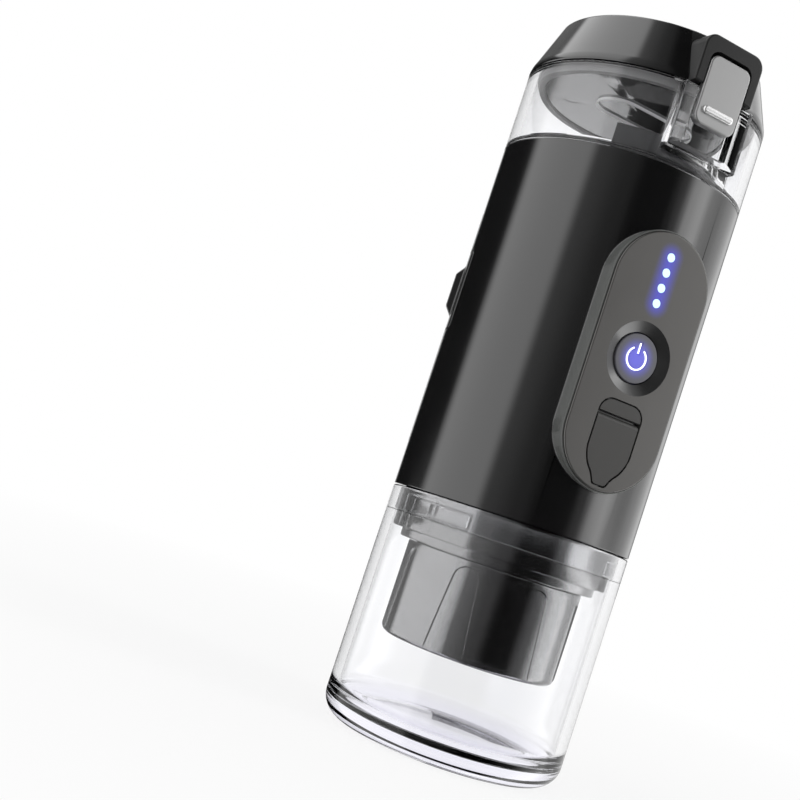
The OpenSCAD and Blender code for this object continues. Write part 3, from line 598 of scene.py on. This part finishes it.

# %% [markdown]
# ## Lit pieces
# The sign and the lights are separate pieces that shine by themselves, and the faces round them carry a
# painted blue glow. Both are ordinary finishes whose emission colour follows the halo group.

# %% Lit finishes


def add_halo(material, colour, height, half_length, near, far):
    """Paints the glow of a light into a finish, in a colour that fades round the light."""
    tree = material.node_tree
    shader = tree.nodes["Principled BSDF"]
    group = tree.nodes.new("ShaderNodeGroup")
    group.node_tree = HALO
    for label, value in (("Height", height), ("Half Length", half_length), ("Near", near), ("Far", far)):
        group.inputs[label].default_value = value * MM
    shine = colour_mix(tree, group.outputs["Halo"], (0, 0, 0, 1), (*colour, 1))
    link(tree, shine, shader.inputs["Emission Color"])
    shader.inputs["Emission Strength"].default_value = 1.0


# heights on the front face, in millimetres
BUTTON_Z = 122.0
LIGHT_COUNT = 4
LIGHT_PITCH = 4.4
TOP_LIGHT = 151.0
ROW_HALF = LIGHT_PITCH * (LIGHT_COUNT - 1) / 2
ROW_MIDDLE = TOP_LIGHT - ROW_HALF
# painted glow of the battery lights on the face of the pad, which is no lamp
add_halo(PAD_GREY, (0.012, 0.014, 0.46), ROW_MIDDLE, ROW_HALF, 0.0, 4.6)
BUTTON_SLATE = finish("button_slate", (0.10, 0.10, 0.115), (0.125, 0.125, 0.14), 0.30, 0.36, bump=0.03)
# painted glow of the sign on the face of the button round it
add_halo(BUTTON_SLATE, (0.055, 0.055, 0.62), BUTTON_Z, 0.0, 1.2, 6.2)
SIGN_LIGHT = finish("icon_light", (0.80, 0.82, 0.95), (0.86, 0.88, 1.0), 0.30, 0.36, bump=0.0)
add_halo(SIGN_LIGHT, (0.85, 0.88, 1.0), BUTTON_Z, 0.0, 4.0, 9.0)
LED_LIGHT = finish("led_light", (0.26, 0.38, 0.46), (0.30, 0.42, 0.50), 0.20, 0.26, bump=0.0)
add_halo(LED_LIGHT, (0.62, 0.86, 1.0), ROW_MIDDLE, ROW_HALF, 1.0, 2.6)
print("lit finishes:", SIGN_LIGHT.name, LED_LIGHT.name)

# %% [markdown]
# ## Wires, turned pieces and plates
# Nearly every piece of the machine is either turned or cut from a flat outline. Both start from a wire in
# the X and Z plane whose corners are rounded by a vertex bevel. A spin turns the wire into a round
# piece, and an extrusion along Y gives a plate with a rounded front edge.

# %% Wire, lathe and plate


def wire(points, closed):
    """Wire from points given as across, height and corner rounding in millimetres."""
    shape = bmesh.new()
    corners = [shape.verts.new((across * MM, 0, height * MM)) for across, height, soft in points]
    pairs = list(zip(corners, corners[1:]))
    if closed:
        pairs.append((corners[-1], corners[0]))
    for pair in pairs:
        shape.edges.new(pair)
    for corner, (across, height, soft) in zip(corners, points):
        if soft > 0:
            bmesh.ops.bevel(shape, geom=[corner], offset=soft * MM, segments=4 + int(soft), affect="VERTICES",
                            profile=0.5, material=-1)
    return shape


def lathe(points, closed=False):
    """Round piece from a profile; an open profile starts and ends on the axis."""
    shape = wire(points, closed)
    bmesh.ops.spin(shape, geom=shape.verts[:] + shape.edges[:], cent=(0, 0, 0), axis=(0, 0, 1),
                   angle=math.tau, steps=144, use_merge=True)
    bmesh.ops.remove_doubles(shape, verts=shape.verts, dist=0.0005 * MM)
    bmesh.ops.recalc_face_normals(shape, faces=shape.faces)
    return shape


def round_edges(shape, edges, soft, segments):
    """Rounds some edges of a shape."""
    bmesh.ops.bevel(shape, geom=edges, offset=soft * MM, segments=segments, affect="EDGES", profile=0.5,
                    material=-1)


def plate(points, near, far, soft=0.0):
    """Plate from a flat outline between two depths, with a rounded edge round its near face."""
    shape = wire(points, closed=True)
    bmesh.ops.translate(shape, vec=(0, near * MM, 0), verts=shape.verts)
    face = bmesh.ops.contextual_create(shape, geom=shape.edges[:])["faces"]
    grown = bmesh.ops.extrude_face_region(shape, geom=face)["geom"]
    moved = [part for part in grown if isinstance(part, bmesh.types.BMVert)]
    bmesh.ops.translate(shape, vec=(0, (far - near) * MM, 0), verts=moved)
    bmesh.ops.recalc_face_normals(shape, faces=shape.faces)
    if soft > 0:
        front = [edge for edge in shape.edges if all(abs(v.co.y - near * MM) < 1e-7 for v in edge.verts)]
        round_edges(shape, front, soft, 4)
    return shape


print("wire tools ready")

# %% [markdown]
# ## Blocks and rods
# Pockets, bores and knuckles are plain boxes and round bars. Blender has both as ready shapes, which are
# moved to their place and get rounded edges where a moulded edge would show.

# %% Block and rod


def block(low, high, soft=0.0):
    """Box between two corners in millimetres, with rounded edges."""
    shape = bmesh.new()
    bmesh.ops.create_cube(shape, size=MM)
    low, high = Vector(low), Vector(high)
    bmesh.ops.scale(shape, vec=high - low, verts=shape.verts)
    bmesh.ops.translate(shape, vec=(high + low) * MM / 2, verts=shape.verts)
    if soft > 0:
        round_edges(shape, shape.edges[:], soft, 3)
    return shape


def rod(start, end, radius, far_radius=None, soft=0.0, steps=72):
    """Round bar or cone between two points in millimetres."""
    shape = bmesh.new()
    start, end = Vector(start) * MM, Vector(end) * MM
    way = end - start
    turn = way.to_track_quat("Z", "Y").to_matrix().to_4x4()
    far_radius = radius if far_radius is None else far_radius
    bmesh.ops.create_cone(shape, cap_ends=True, segments=steps, radius1=radius * MM, radius2=far_radius * MM,
                          depth=way.length, matrix=Matrix.Translation((start + end) / 2) @ turn)
    if soft > 0:
        rims = [edge for edge in shape.edges if any(len(face.verts) > 4 for face in edge.link_faces)]
        round_edges(shape, rims, soft, 3)
    return shape


print("block tools ready")

# %% [markdown]
# ## Joining and carving
# A moulded piece with pockets and lugs is easiest to build as it would be sketched: add a block, cut a
# pocket. The Boolean modifier does both, and its result is kept as the piece's own mesh.

# %% Solid and carve


def solid(name, shape):
    """Object from a shape, at the origin."""
    mesh = bpy.data.meshes.new(name)
    shape.to_mesh(mesh)
    shape.free()
    piece = bpy.data.objects.new(name, mesh)
    scene.collection.objects.link(piece)
    return piece


def taken_out(piece):
    """Shape of a helper object, which is deleted."""
    shape = bmesh.new()
    shape.from_mesh(piece.data)
    bpy.data.objects.remove(piece)
    return shape


def carve(piece, shape, how="DIFFERENCE"):
    """Cuts a shape out of a piece, or joins or crosses the two."""
    tool = solid("tool", shape)
    step = piece.modifiers.new("carve", "BOOLEAN")
    step.operation = how
    step.solver = "EXACT"
    step.object = tool
    view = bpy.context.evaluated_depsgraph_get()
    before = piece.data
    piece.data = bpy.data.meshes.new_from_object(piece.evaluated_get(view))
    piece.modifiers.clear()
    spare = tool.data
    bpy.data.objects.remove(tool)
    bpy.data.meshes.remove(spare)
    bpy.data.meshes.remove(before)


print("carving tools ready")

# %% [markdown]
# ## Handing a piece over
# Each piece gets its finish and rides on the body that it belongs to. Where cuts left sharp edges, a small
# bevel rounds them, and weighted normals keep the flat faces flat. Both could be worked into the mesh. As
# modifiers they can still be changed.

# %% Hand a piece over
# edges that turn by more than this are rounded
CUT_ANGLE = math.radians(35)


def hand_over(piece, body, slot, material, *stands_for, soft=0.0):
    """Gives a piece its finish and its soft edges, and lets it ride on its body."""
    piece.data.materials.clear()
    piece.data.materials.append(material)
    piece.data.shade_smooth()
    if soft > 0:
        bevel = piece.modifiers.new("soft_edges", "BEVEL")
        bevel.width = soft * MM
        bevel.segments = 3
        bevel.limit_method = "ANGLE"
        bevel.angle_limit = CUT_ANGLE
    piece.modifiers.new("even_shading", "WEIGHTED_NORMAL").keep_sharp = True
    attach(piece, body)
    if stands_for:
        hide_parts(*stands_for)
    print(piece.name, "has", len(piece.data.polygons), "faces")


print("ready to hand over")

# %% [markdown]
# ## Cup
# The cup is a thick clear beaker and the foot of the machine. Its base is much thicker than its wall, and the
# round lower corners bend the light into rings. One turned profile gives all of it, with a shallow recess
# underneath and a step inside the mouth for the lock ring.

# %% Cup
CUP_PROFILE = (
    (0, 0.7, 0), (24.5, 0.7, 0.4), (25.5, 0, 0.4), (36, 0, 7), (36, 69.7, 0.5), (33.62, 69.7, 0.3),
    (33.62, 62.65, 0.1), (33.2, 62.65, 0.1), (33.2, 6.5, 5), (0, 6.5, 0),
)
hand_over(solid("clear_cup", lathe(CUP_PROFILE)), "cup_body", "clear_plastic", CLEAR_CUP, "cup")

# %% [markdown]
# ## Lock ring
# Three lugs inside the mouth hold the machine on its cup. In clear plastic only their edges show, as thin
# light lines, so the edges need a rounding that catches the light. A lug is a small square section, spun
# through its own angle.

# %% Lock ring


def turned(shape, degrees, axis="Z"):
    """The shape, turned round an axis."""
    turn = Matrix.Rotation(math.radians(degrees), 3, axis)
    bmesh.ops.rotate(shape, cent=(0, 0, 0), matrix=turn, verts=shape.verts)
    return shape


def section(inner, outer, low, high, soft=0.0):
    """Outline of a ring's section between two radii and two heights."""
    return ((inner, low, soft), (outer, low, soft), (outer, high, soft), (inner, high, soft))


def lug(outline, middle, degrees, soft, steps=12):
    """Part of a ring with the given section, and soft edges."""
    shape = wire(outline, closed=True)
    bmesh.ops.contextual_create(shape, geom=shape.edges[:])
    turned(shape, middle - degrees / 2)
    bmesh.ops.spin(shape, geom=shape.verts[:] + shape.edges[:] + shape.faces[:], cent=(0, 0, 0),
                   axis=(0, 0, 1), angle=math.radians(degrees), steps=steps)
    bmesh.ops.remove_doubles(shape, verts=shape.verts, dist=0.0005 * MM)
    bmesh.ops.recalc_face_normals(shape, faces=shape.faces)
    sharp = [edge for edge in shape.edges if edge.calc_face_angle(0) > 0.6]
    round_edges(shape, sharp, soft, 3)
    return shape


lock_ring = solid("clear_lock_ring", lathe(section(33.2, 33.58, 63, 69.7, 0.1), closed=True))
for middle in (90, 210, 330):
    carve(lock_ring, lug(section(30.85, 33.4, 63.5, 67.2), middle, 22, 0.3), "UNION")
hand_over(lock_ring, "ring_body", "clear_plastic", CLEAR_CUP, "lock_ring")

# %% [markdown]
# ## Water tank
# The tank is a clear ring wall with a spigot below. In front it carries a thick catch with a pocket, into
# which the latch lever closes, and behind it carries two knuckles for the hinge pin. Blocks and bars are
# joined to the turned wall, and the pocket and the bores are cut afterwards.

# %% Tank
TANK_PROFILE = (
    (36, 175, 0.3), (36, 198.5, 0.5), (33.2, 198.5, 0.4), (33.2, 176.6, 0.8), (30.6, 176.6, 0.3),
    (30.6, 172, 0.2), (33.0, 172, 0.2), (33.0, 175, 0),
)
HINGE_Y, HINGE_Z = 29.0, 206.5
KNUCKLE_X, KNUCKLE_HALF = 7.6, 2.5
FOOT_SECTION = (
    (33.2, 197.5, 0), (35.6, 197.5, 0), (35.6, 200.0, 0.3), (33.0, HINGE_Z, 0), (HINGE_Y, HINGE_Z, 0),
    (32.4, 199.7, 0.2), (33.2, 199.4, 0.2),
)


def upright_bar(radius, low, high):
    """Round bar on the upright axis."""
    return rod((0, 0, low), (0, 0, high), radius, steps=144)


def hinge_bar(radius, near, far, **more):
    """Round bar on the hinge axis."""
    return rod((near, HINGE_Y, HINGE_Z), (far, HINGE_Y, HINGE_Z), radius, **more)


def latch_pocket():
    """Cutter for the pocket that the lever closes into."""
    return block((-7.5, -45, 181.5), (7.5, -34.4, 201.5), 0.5)


tank = solid("clear_tank", lathe(TANK_PROFILE, closed=True))
catch = solid("catch", block((-12, -37.2, 179.5), (12, -30, 197.9), 0.6))
carve(catch, upright_bar(34.4, 170, 210))
carve(catch, latch_pocket())
carve(tank, taken_out(catch), "UNION")
carve(tank, latch_pocket())
carve(tank, block((-5, -35.0, 192.2), (5, -34.0, 193.4), 0.2), "UNION")
for side in (-1, 1):
    near, far = side * KNUCKLE_X - KNUCKLE_HALF, side * KNUCKLE_X + KNUCKLE_HALF
    foot = solid("foot", turned(plate(FOOT_SECTION, -far, -near), 90))
    carve(foot, upright_bar(35.95, 190, 210), "INTERSECT")
    carve(tank, taken_out(foot), "UNION")
    carve(tank, hinge_bar(4.0, near, far, soft=0.4), "UNION")
carve(tank, hinge_bar(1.55, -20, 20))
hand_over(tank, "machine_body", "clear_plastic", CLEAR_CUP, "tank")

# %% [markdown]
# ## Lid
# The lid stands upright for a moment and then leans in, like a low cone with a crisp upper edge. The frame of
# the latch fills a slot in its front, and the hinge knuckles stand in a notch at its back. Behind the hinge
# its lower edge is cut back in an arc, so that it can swing past the rim of the tank.

# %% Lid
LID_FOOT, LID_SIDE, LID_TOP = 198.8, 200.3, 215.0
LID_TOP_RADIUS = 30.5
FRAME_HALF = 10.25


def lid_body():
    """Full round body of the lid without its cavity."""
    return lathe(((0, LID_FOOT, 0), (36, LID_FOOT, 0.5), (36, LID_SIDE, 0.8), (LID_TOP_RADIUS, LID_TOP, 0.8),
                  (0, LID_TOP, 0)))


def swing_room():
    """Cutter for the back of the lid, which has to swing past the tank rim."""
    cutter = solid("cutter", block((-30, HINGE_Y, 197.8), (30, 51.5, HINGE_Z)))
    carve(cutter, hinge_bar(7.6, -40, 40, steps=96))
    return taken_out(cutter)


def lid_cavity():
    """Cutter for the hollow inside, which leaves a wall round the hinge notch."""
    cavity = solid("cavity", upright_bar(30.5, 190, 211.4))
    carve(cavity, block((-12.6, HINGE_Y - 6.6, 180), (12.6, 60, 230)))
    return taken_out(cavity)


lid = solid("lid", lid_body())
carve(lid, lid_cavity())
carve(lid, block((-10.4, HINGE_Y - 4.5, 197.8), (10.4, 67, 257.8)))
carve(lid, swing_room())
carve(lid, block((-FRAME_HALF, -46, 197.8), (FRAME_HALF, -29, 257.8)))
carve(lid, hinge_bar(1.5, -40, 40))
hand_over(lid, "lid_body", "gloss_black", GLOSS_BLACK, "lid_shell", soft=0.25)

# %% [markdown]
# ## Latch
# The latch has a matte frame, which carries on the round of the lid and stands out in front of it, and a
# satin lever in the opening of the frame. A bright rib near the lever's lower end is for the finger. Frame
# and lever are separate, because the lever turns on its own pin. Their outlines are the same on both
# sides, so only the right half is written down.

# %% Latch frame and lever
FRAME_TOP = 213.0


def both_sides(right):
    """Closed outline from its right half, which runs from the foot to the top."""
    left = [(-across, height, soft) for across, height, soft in reversed(right)]
    return (left[-1], *right, *left[:-1])


def panel(half_width, foot, top, soft, foot_soft=None):
    """Outline of an upright panel with rounded corners."""
    foot_soft = soft if foot_soft is None else foot_soft
    return both_sides(((half_width, foot, foot_soft), (half_width, top, soft)))


def together(*shapes):
    """One shape from several."""
    whole = bmesh.new()
    for shape in shapes:
        spare = bpy.data.meshes.new("spare")
        shape.to_mesh(spare)
        shape.free()
        whole.from_mesh(spare)
        bpy.data.meshes.remove(spare)
    return whole


outline = panel(FRAME_HALF, LID_FOOT, FRAME_TOP, 3.6, 0)
latch_frame = solid("latch_surround", plate(outline, -37.5, -29.4, 0.6))
infill = solid("infill", lid_body())
carve(infill, block((-FRAME_HALF, -46, 190), (FRAME_HALF, -29, 230)), "INTERSECT")
carve(latch_frame, taken_out(infill), "UNION")
carve(latch_frame, plate(panel(7.4, 197, 208.8, 3, 0), -46, -30.7))
hand_over(latch_frame, "lid_body", "frame_grey", FRAME_GREY, "latch_frame", soft=0.3)

lever = together(
    plate(panel(7, 188.2, 207.7, 2.6), -37.9, -35.7, 0.5),
    rod((-6.5, -35.2, 203), (6.5, -35.2, 203), 1.9, soft=0.2),
    block((-5, -36.2, 189.6), (5, -35.2, 191.0), 0.2))
hand_over(solid("latch_handle", lever), "latch_body", "lever_silver", LEVER_SILVER, "latch_lever")
rib = plate(panel(5.2, 191.3, 193.5, 1.08), -38.8, -37.5, 0.6)
hand_over(solid("latch_rib", rib), "latch_body", "lever_silver", RIB_SILVER)

# %% [markdown]
# ## Control pad
# The pad is a flat satin plate with round ends. It lies in a raised rim, and a thin dark gap
# between the two draws its outline. The gap could be painted on one plate, but a real one has its shadow
# from every side. The button sits in a dish of smooth dark metal.

# %% Pad, rim and dish
PAD_FACE, PAD_BACK = -38.0, -36.2
BUTTON_SEAT = -36.4
FLAP_OPENING = both_sides((
    (2.4, 85.6, 0.9), (3.3, 88.0, 1.6), (7.35, 92.2, 3.6), (7.35, 109.65, 4.1),
))


def on_button(shape):
    """Turns a piece that was made round the upright axis to the front and sets it on the button."""
    turned(shape, 90, "X")
    bmesh.ops.translate(shape, vec=(0, BUTTON_SEAT * MM, BUTTON_Z * MM), verts=shape.verts)
    return shape


def front_bore(height, near, far, radius, far_radius=None, **more):
    """Round cutter straight in from the front."""
    return rod((0, near, height), (0, far, height), radius, far_radius, **more)


pad = solid("pad_plate", plate(panel(15.5, 84.5, 157.5, 15.45), PAD_FACE, PAD_BACK, 0.4))
carve(pad, front_bore(BUTTON_Z, -38.7, BUTTON_SEAT, 11.95, 6.86))
carve(pad, front_bore(BUTTON_Z, -37.2, -35, 7.3))
for light in range(LIGHT_COUNT):
    carve(pad, front_bore(TOP_LIGHT - light * LIGHT_PITCH, -39, -35, 1.3, steps=40))
carve(pad, plate(FLAP_OPENING, -39, -35))
hand_over(pad, "machine_body", "pad_grey", PAD_GREY, "control_pad", soft=0.12)

rim = solid("pad_rim", plate(panel(16.04, 83.96, 158.04, 15.99), -37.45, -30, 0.3))
carve(rim, plate(panel(15.62, 84.38, 157.62, 15.57), -39, -29))
hand_over(rim, "machine_body", "pad_grey", RIM_SATIN)

dish = lathe(((7.2, 0.2, 0), (10.28, 1.58, 0.05), (10.28, 1.3, 0), (7.2, -0.1, 0)), closed=True)
hand_over(solid("button_dish", on_button(dish)), "machine_body", "pad_grey", DISH_METAL)

# %% [markdown]
# ## Power sign
# The sign on the button is a ring that is open at its top, with a bar in the gap. It glows through a very
# thin mask, so its lines are finer than a moulded sign would be.

# %% Power sign
sign = together(
    on_button(lug(section(2.85, 3.3, 0.2, 0.6), 270, 296, 0.08, steps=60)),
    block((-0.22, -37.0, BUTTON_Z + 1.4), (0.22, -36.6, BUTTON_Z + 4.4), 0.08))
hand_over(solid("power_sign", sign), "button_body", "icon_light", SIGN_LIGHT, "power_icon")

# %% [markdown]
# ## Port flap
# A rubber flap covers the charging port. It hangs on a fixed upper end by a thin web, which shows as a wide
# soft groove. Both sides of the groove are wide bevels, and the dark gap round the flap is the opening
# in the pad.

# %% Flap and anchor
FLAP_TOP, ANCHOR_FOOT = 104.8, 105.3


def groove_edge(shape, height, soft):
    """Rounds the front edge of a flap piece along the hinge."""
    edges = [edge for edge in shape.edges
             if all(abs(v.co.z - height * MM) < 1e-6 and v.co.y < -37.99 * MM for v in edge.verts)]
    round_edges(shape, edges, soft, 5)
    return shape


flap = plate(both_sides(((2.0, 86.05, 0.8), (2.9, 88.4, 1.6), (6.86, 92.5, 3.4), (6.86, FLAP_TOP, 0))),
             PAD_FACE, -36.6)
hand_over(solid("rubber_flap", groove_edge(flap, FLAP_TOP, 1.35)), "flap_body", "flap_rubber", FLAP_RUBBER,
          "port_flap", soft=0.15)
anchor = plate(panel(6.9, ANCHOR_FOOT, 109.2, 3.7, 0), PAD_FACE, PAD_BACK)
hand_over(solid("rubber_anchor", groove_edge(anchor, ANCHOR_FOOT, 1.7)), "machine_body", "flap_rubber",
          FLAP_RUBBER, "flap_anchor", soft=0.15)

# %% [markdown]
# ## Lid liner
# Through the clear tank the eye looks up at the liner of the lid. It is a smooth dark disc with a thin pale
# stadium line along the raised edge of its oval bead; the bead is given a pale colour, which paints the
# highlight of that edge. Four pockets take the heads of its screws.

# %% Liner
LINER_PROFILE = (
    (0, 197.0, 0), (30.3, 197.0, 0.5), (30.3, 198.8, 0.1), (25, 198.8, 0), (25, 199.8, 0.1), (0, 199.8, 0),
)
liner = solid("liner_disc", lathe(LINER_PROFILE))
for across in (-18, 18):
    for along in (-12, 12):
        carve(liner, rod((across, along, 196), (across, along, 197.9), 2.3, steps=48))
hand_over(liner, "lid_body", "inner_dark", LINER_GLOSS, "lid_liner")


def stadium(half_length, half_width):
    """Outline of a long oval."""
    return panel(half_length, -half_width, half_width, half_width - 0.02)


bead = solid("oval", plate(stadium(15, 7.5), -197.2, -196.2))
carve(bead, plate(stadium(14.6, 7.1), -199, -195))
bead = solid("liner_bead", turned(taken_out(bead), -90, "X"))
# the bead's pale finish is a painted highlight of its edge
hand_over(bead, "lid_body", "inner_dark", BEAD_PAINTED_HIGHLIGHT, soft=0.1)

# %% [markdown]
# ## Brew holder
# The holder is a dark metal cup with shallow flutes. Each flute is an arched panel with a round floor, so
# that its outline catches a thin line of light and the reflections run on through it. A plug between a wide
# and a narrow arch, with a round inner face, cuts one flute with slanted walls, and the same cut repeats
# round the axis. The edges stay crisp: they are marked as sharp, and no bevel rounds them.

# %% Flute
FLUTE_COUNT = 8
FLUTE_FLOOR = 26.0
FLUTE_TOP = 53.9
FLUTE_CREASE = math.radians(20)
# how much wider or narrower than the flute the plug is at its two ends, and how deep these lie
PLUG_ENDS = ((0.9, -28), (-0.9, -25))


def flute_arch(grow, depth):
    """Outline of a flute, an arch that widens towards the foot, at one depth."""
    foot, top = 6.5 + grow, 3.6 + grow
    outline = wire(both_sides(((foot, 27, 0), (top, FLUTE_TOP + grow, top - 0.2))), closed=True)
    bmesh.ops.translate(outline, vec=(0, depth * MM, 0), verts=outline.verts)
    return outline


def flute_plug():
    """Tapered cutter with a round inner face, which leaves a flute with slanted walls."""
    plug = together(*(flute_arch(grow, depth) for grow, depth in PLUG_ENDS))
    bmesh.ops.bridge_loops(plug, edges=plug.edges[:])
    bmesh.ops.holes_fill(plug, edges=plug.edges[:], sides=0)
    bmesh.ops.recalc_face_normals(plug, faces=plug.faces)
    arch = solid("arch", plug)
    carve(arch, rod((0, 0, 20), (0, 0, 60), FLUTE_FLOOR, steps=240))
    return taken_out(arch)


print("flutes:", FLUTE_COUNT)

# %% Holder
HOLDER_PROFILE = (
    (0, 28, 0), (26.5, 28, 2.4), (26.5, 55.65, 0.3), (24.2, 55.65, 0.1), (24.2, 63.4, 0.3), (21.2, 63.4, 0.3),
    (21.2, 33, 0.3), (0, 33, 0),
)
holder = solid("fluted_holder", lathe(HOLDER_PROFILE))
for flute in range(FLUTE_COUNT):
    carve(holder, turned(flute_plug(), flute * 360 / FLUTE_COUNT))
carve(holder, rod((0, 0, 20), (0, 0, 40), 3.0))
for middle in (0, 120, 240):
    carve(holder, lug(section(23.4, 25.8, 59.95, 62.05), middle, 12, 0.2), "UNION")
holder.data.set_sharp_from_angle(angle=FLUTE_CREASE)
hand_over(holder, "holder_body", "dark_satin", HOLDER_GREY, "brew_holder")

# %% [markdown]
# ## Finishes on the solids
# Each solid that still shows keeps its shape and gets its finish. A solid comes with one material slot or
# more, and the finish goes into all of them, so the mesh itself isn't touched.

# %% Dress the solids
SOLID_FINISH = {
    "bayonet_collar": COLLAR_GREY, "filter_basket": STEEL, "shower_screen": STEEL, "brew_gasket": SEAL_RUBBER,
    "group_head": GROUP_METAL, "housing": GLOSS_BLACK, "rear_cover": GLOSS_BLACK,
    "power_button": BUTTON_SLATE, "led_lenses": LED_LIGHT, "tact_switch": INNER_DARK, "usb_shell": STEEL,
    "usb_tongue": INNER_DARK, "circuit_board": BOARD_GREEN, "board_screws": STEEL,
    "chassis_wall": INNER_DARK, "battery_cells": CELL_BLUE, "battery_holder": INNER_DARK,
    "pump_bracket": INNER_DARK, "pump_motor": MOTOR_CAN, "pump_shaft": STEEL, "pump_head": PUMP_WHITE,
    "inlet_tube": HOSE, "outlet_tube": HOSE, "heater_plate": STEEL, "heater_ring": HEATER_BRASS,
    "temperature_probe": STEEL, "inlet_strainer": INNER_DARK, "tank_floor": TANK_BASE,
    "tank_gasket": SEAL_RUBBER, "lid_seal": LID_RUBBER, "liner_screws": LINER_GLOSS,
    "latch_pin": STEEL, "hinge_pin": STEEL,
}
for node, material in SOLID_FINISH.items():
    for slot in nodes[node].material_slots:
        slot.material = material
print("dressed:", len(SOLID_FINISH), "of", len(nodes))

# %% [markdown]
# ## Soft edges on the solids
# A moulded edge is never sharp: a small rounding catches the light as a thin line. The solids come in as
# loose triangles, so the corners are welded, flat faces are joined again, and then a bevel
# rounds what is left. The weighted normals keep the flat faces flat in the shading.

# %% Soften edges


def soften(node, width):
    """Rounds the sharp edges of a solid by modifiers, which leave its mesh as it is."""
    thing = nodes[node]
    weld = thing.modifiers.new("join_corners", "WELD")
    weld.merge_threshold = 0.002 * MM
    flats = thing.modifiers.new("join_flats", "DECIMATE")
    flats.decimate_type = "DISSOLVE"
    flats.angle_limit = math.radians(0.5)
    bevel = thing.modifiers.new("soft_edges", "BEVEL")
    bevel.width = width * MM
    bevel.segments = 2
    bevel.limit_method = "ANGLE"
    bevel.angle_limit = math.radians(30)
    bevel.use_clamp_overlap = False
    thing.modifiers.new("even_shading", "WEIGHTED_NORMAL")


SOFT_SOLIDS = {"housing": 0.3, "rear_cover": 0.3, "bayonet_collar": 0.4, "power_button": 0.3}
for node, width in SOFT_SOLIDS.items():
    soften(node, width)
print("softened solids:", len(SOFT_SOLIDS))

# %% [markdown]
# ## End of the scene

# %% Sizes
print("end of the scene")
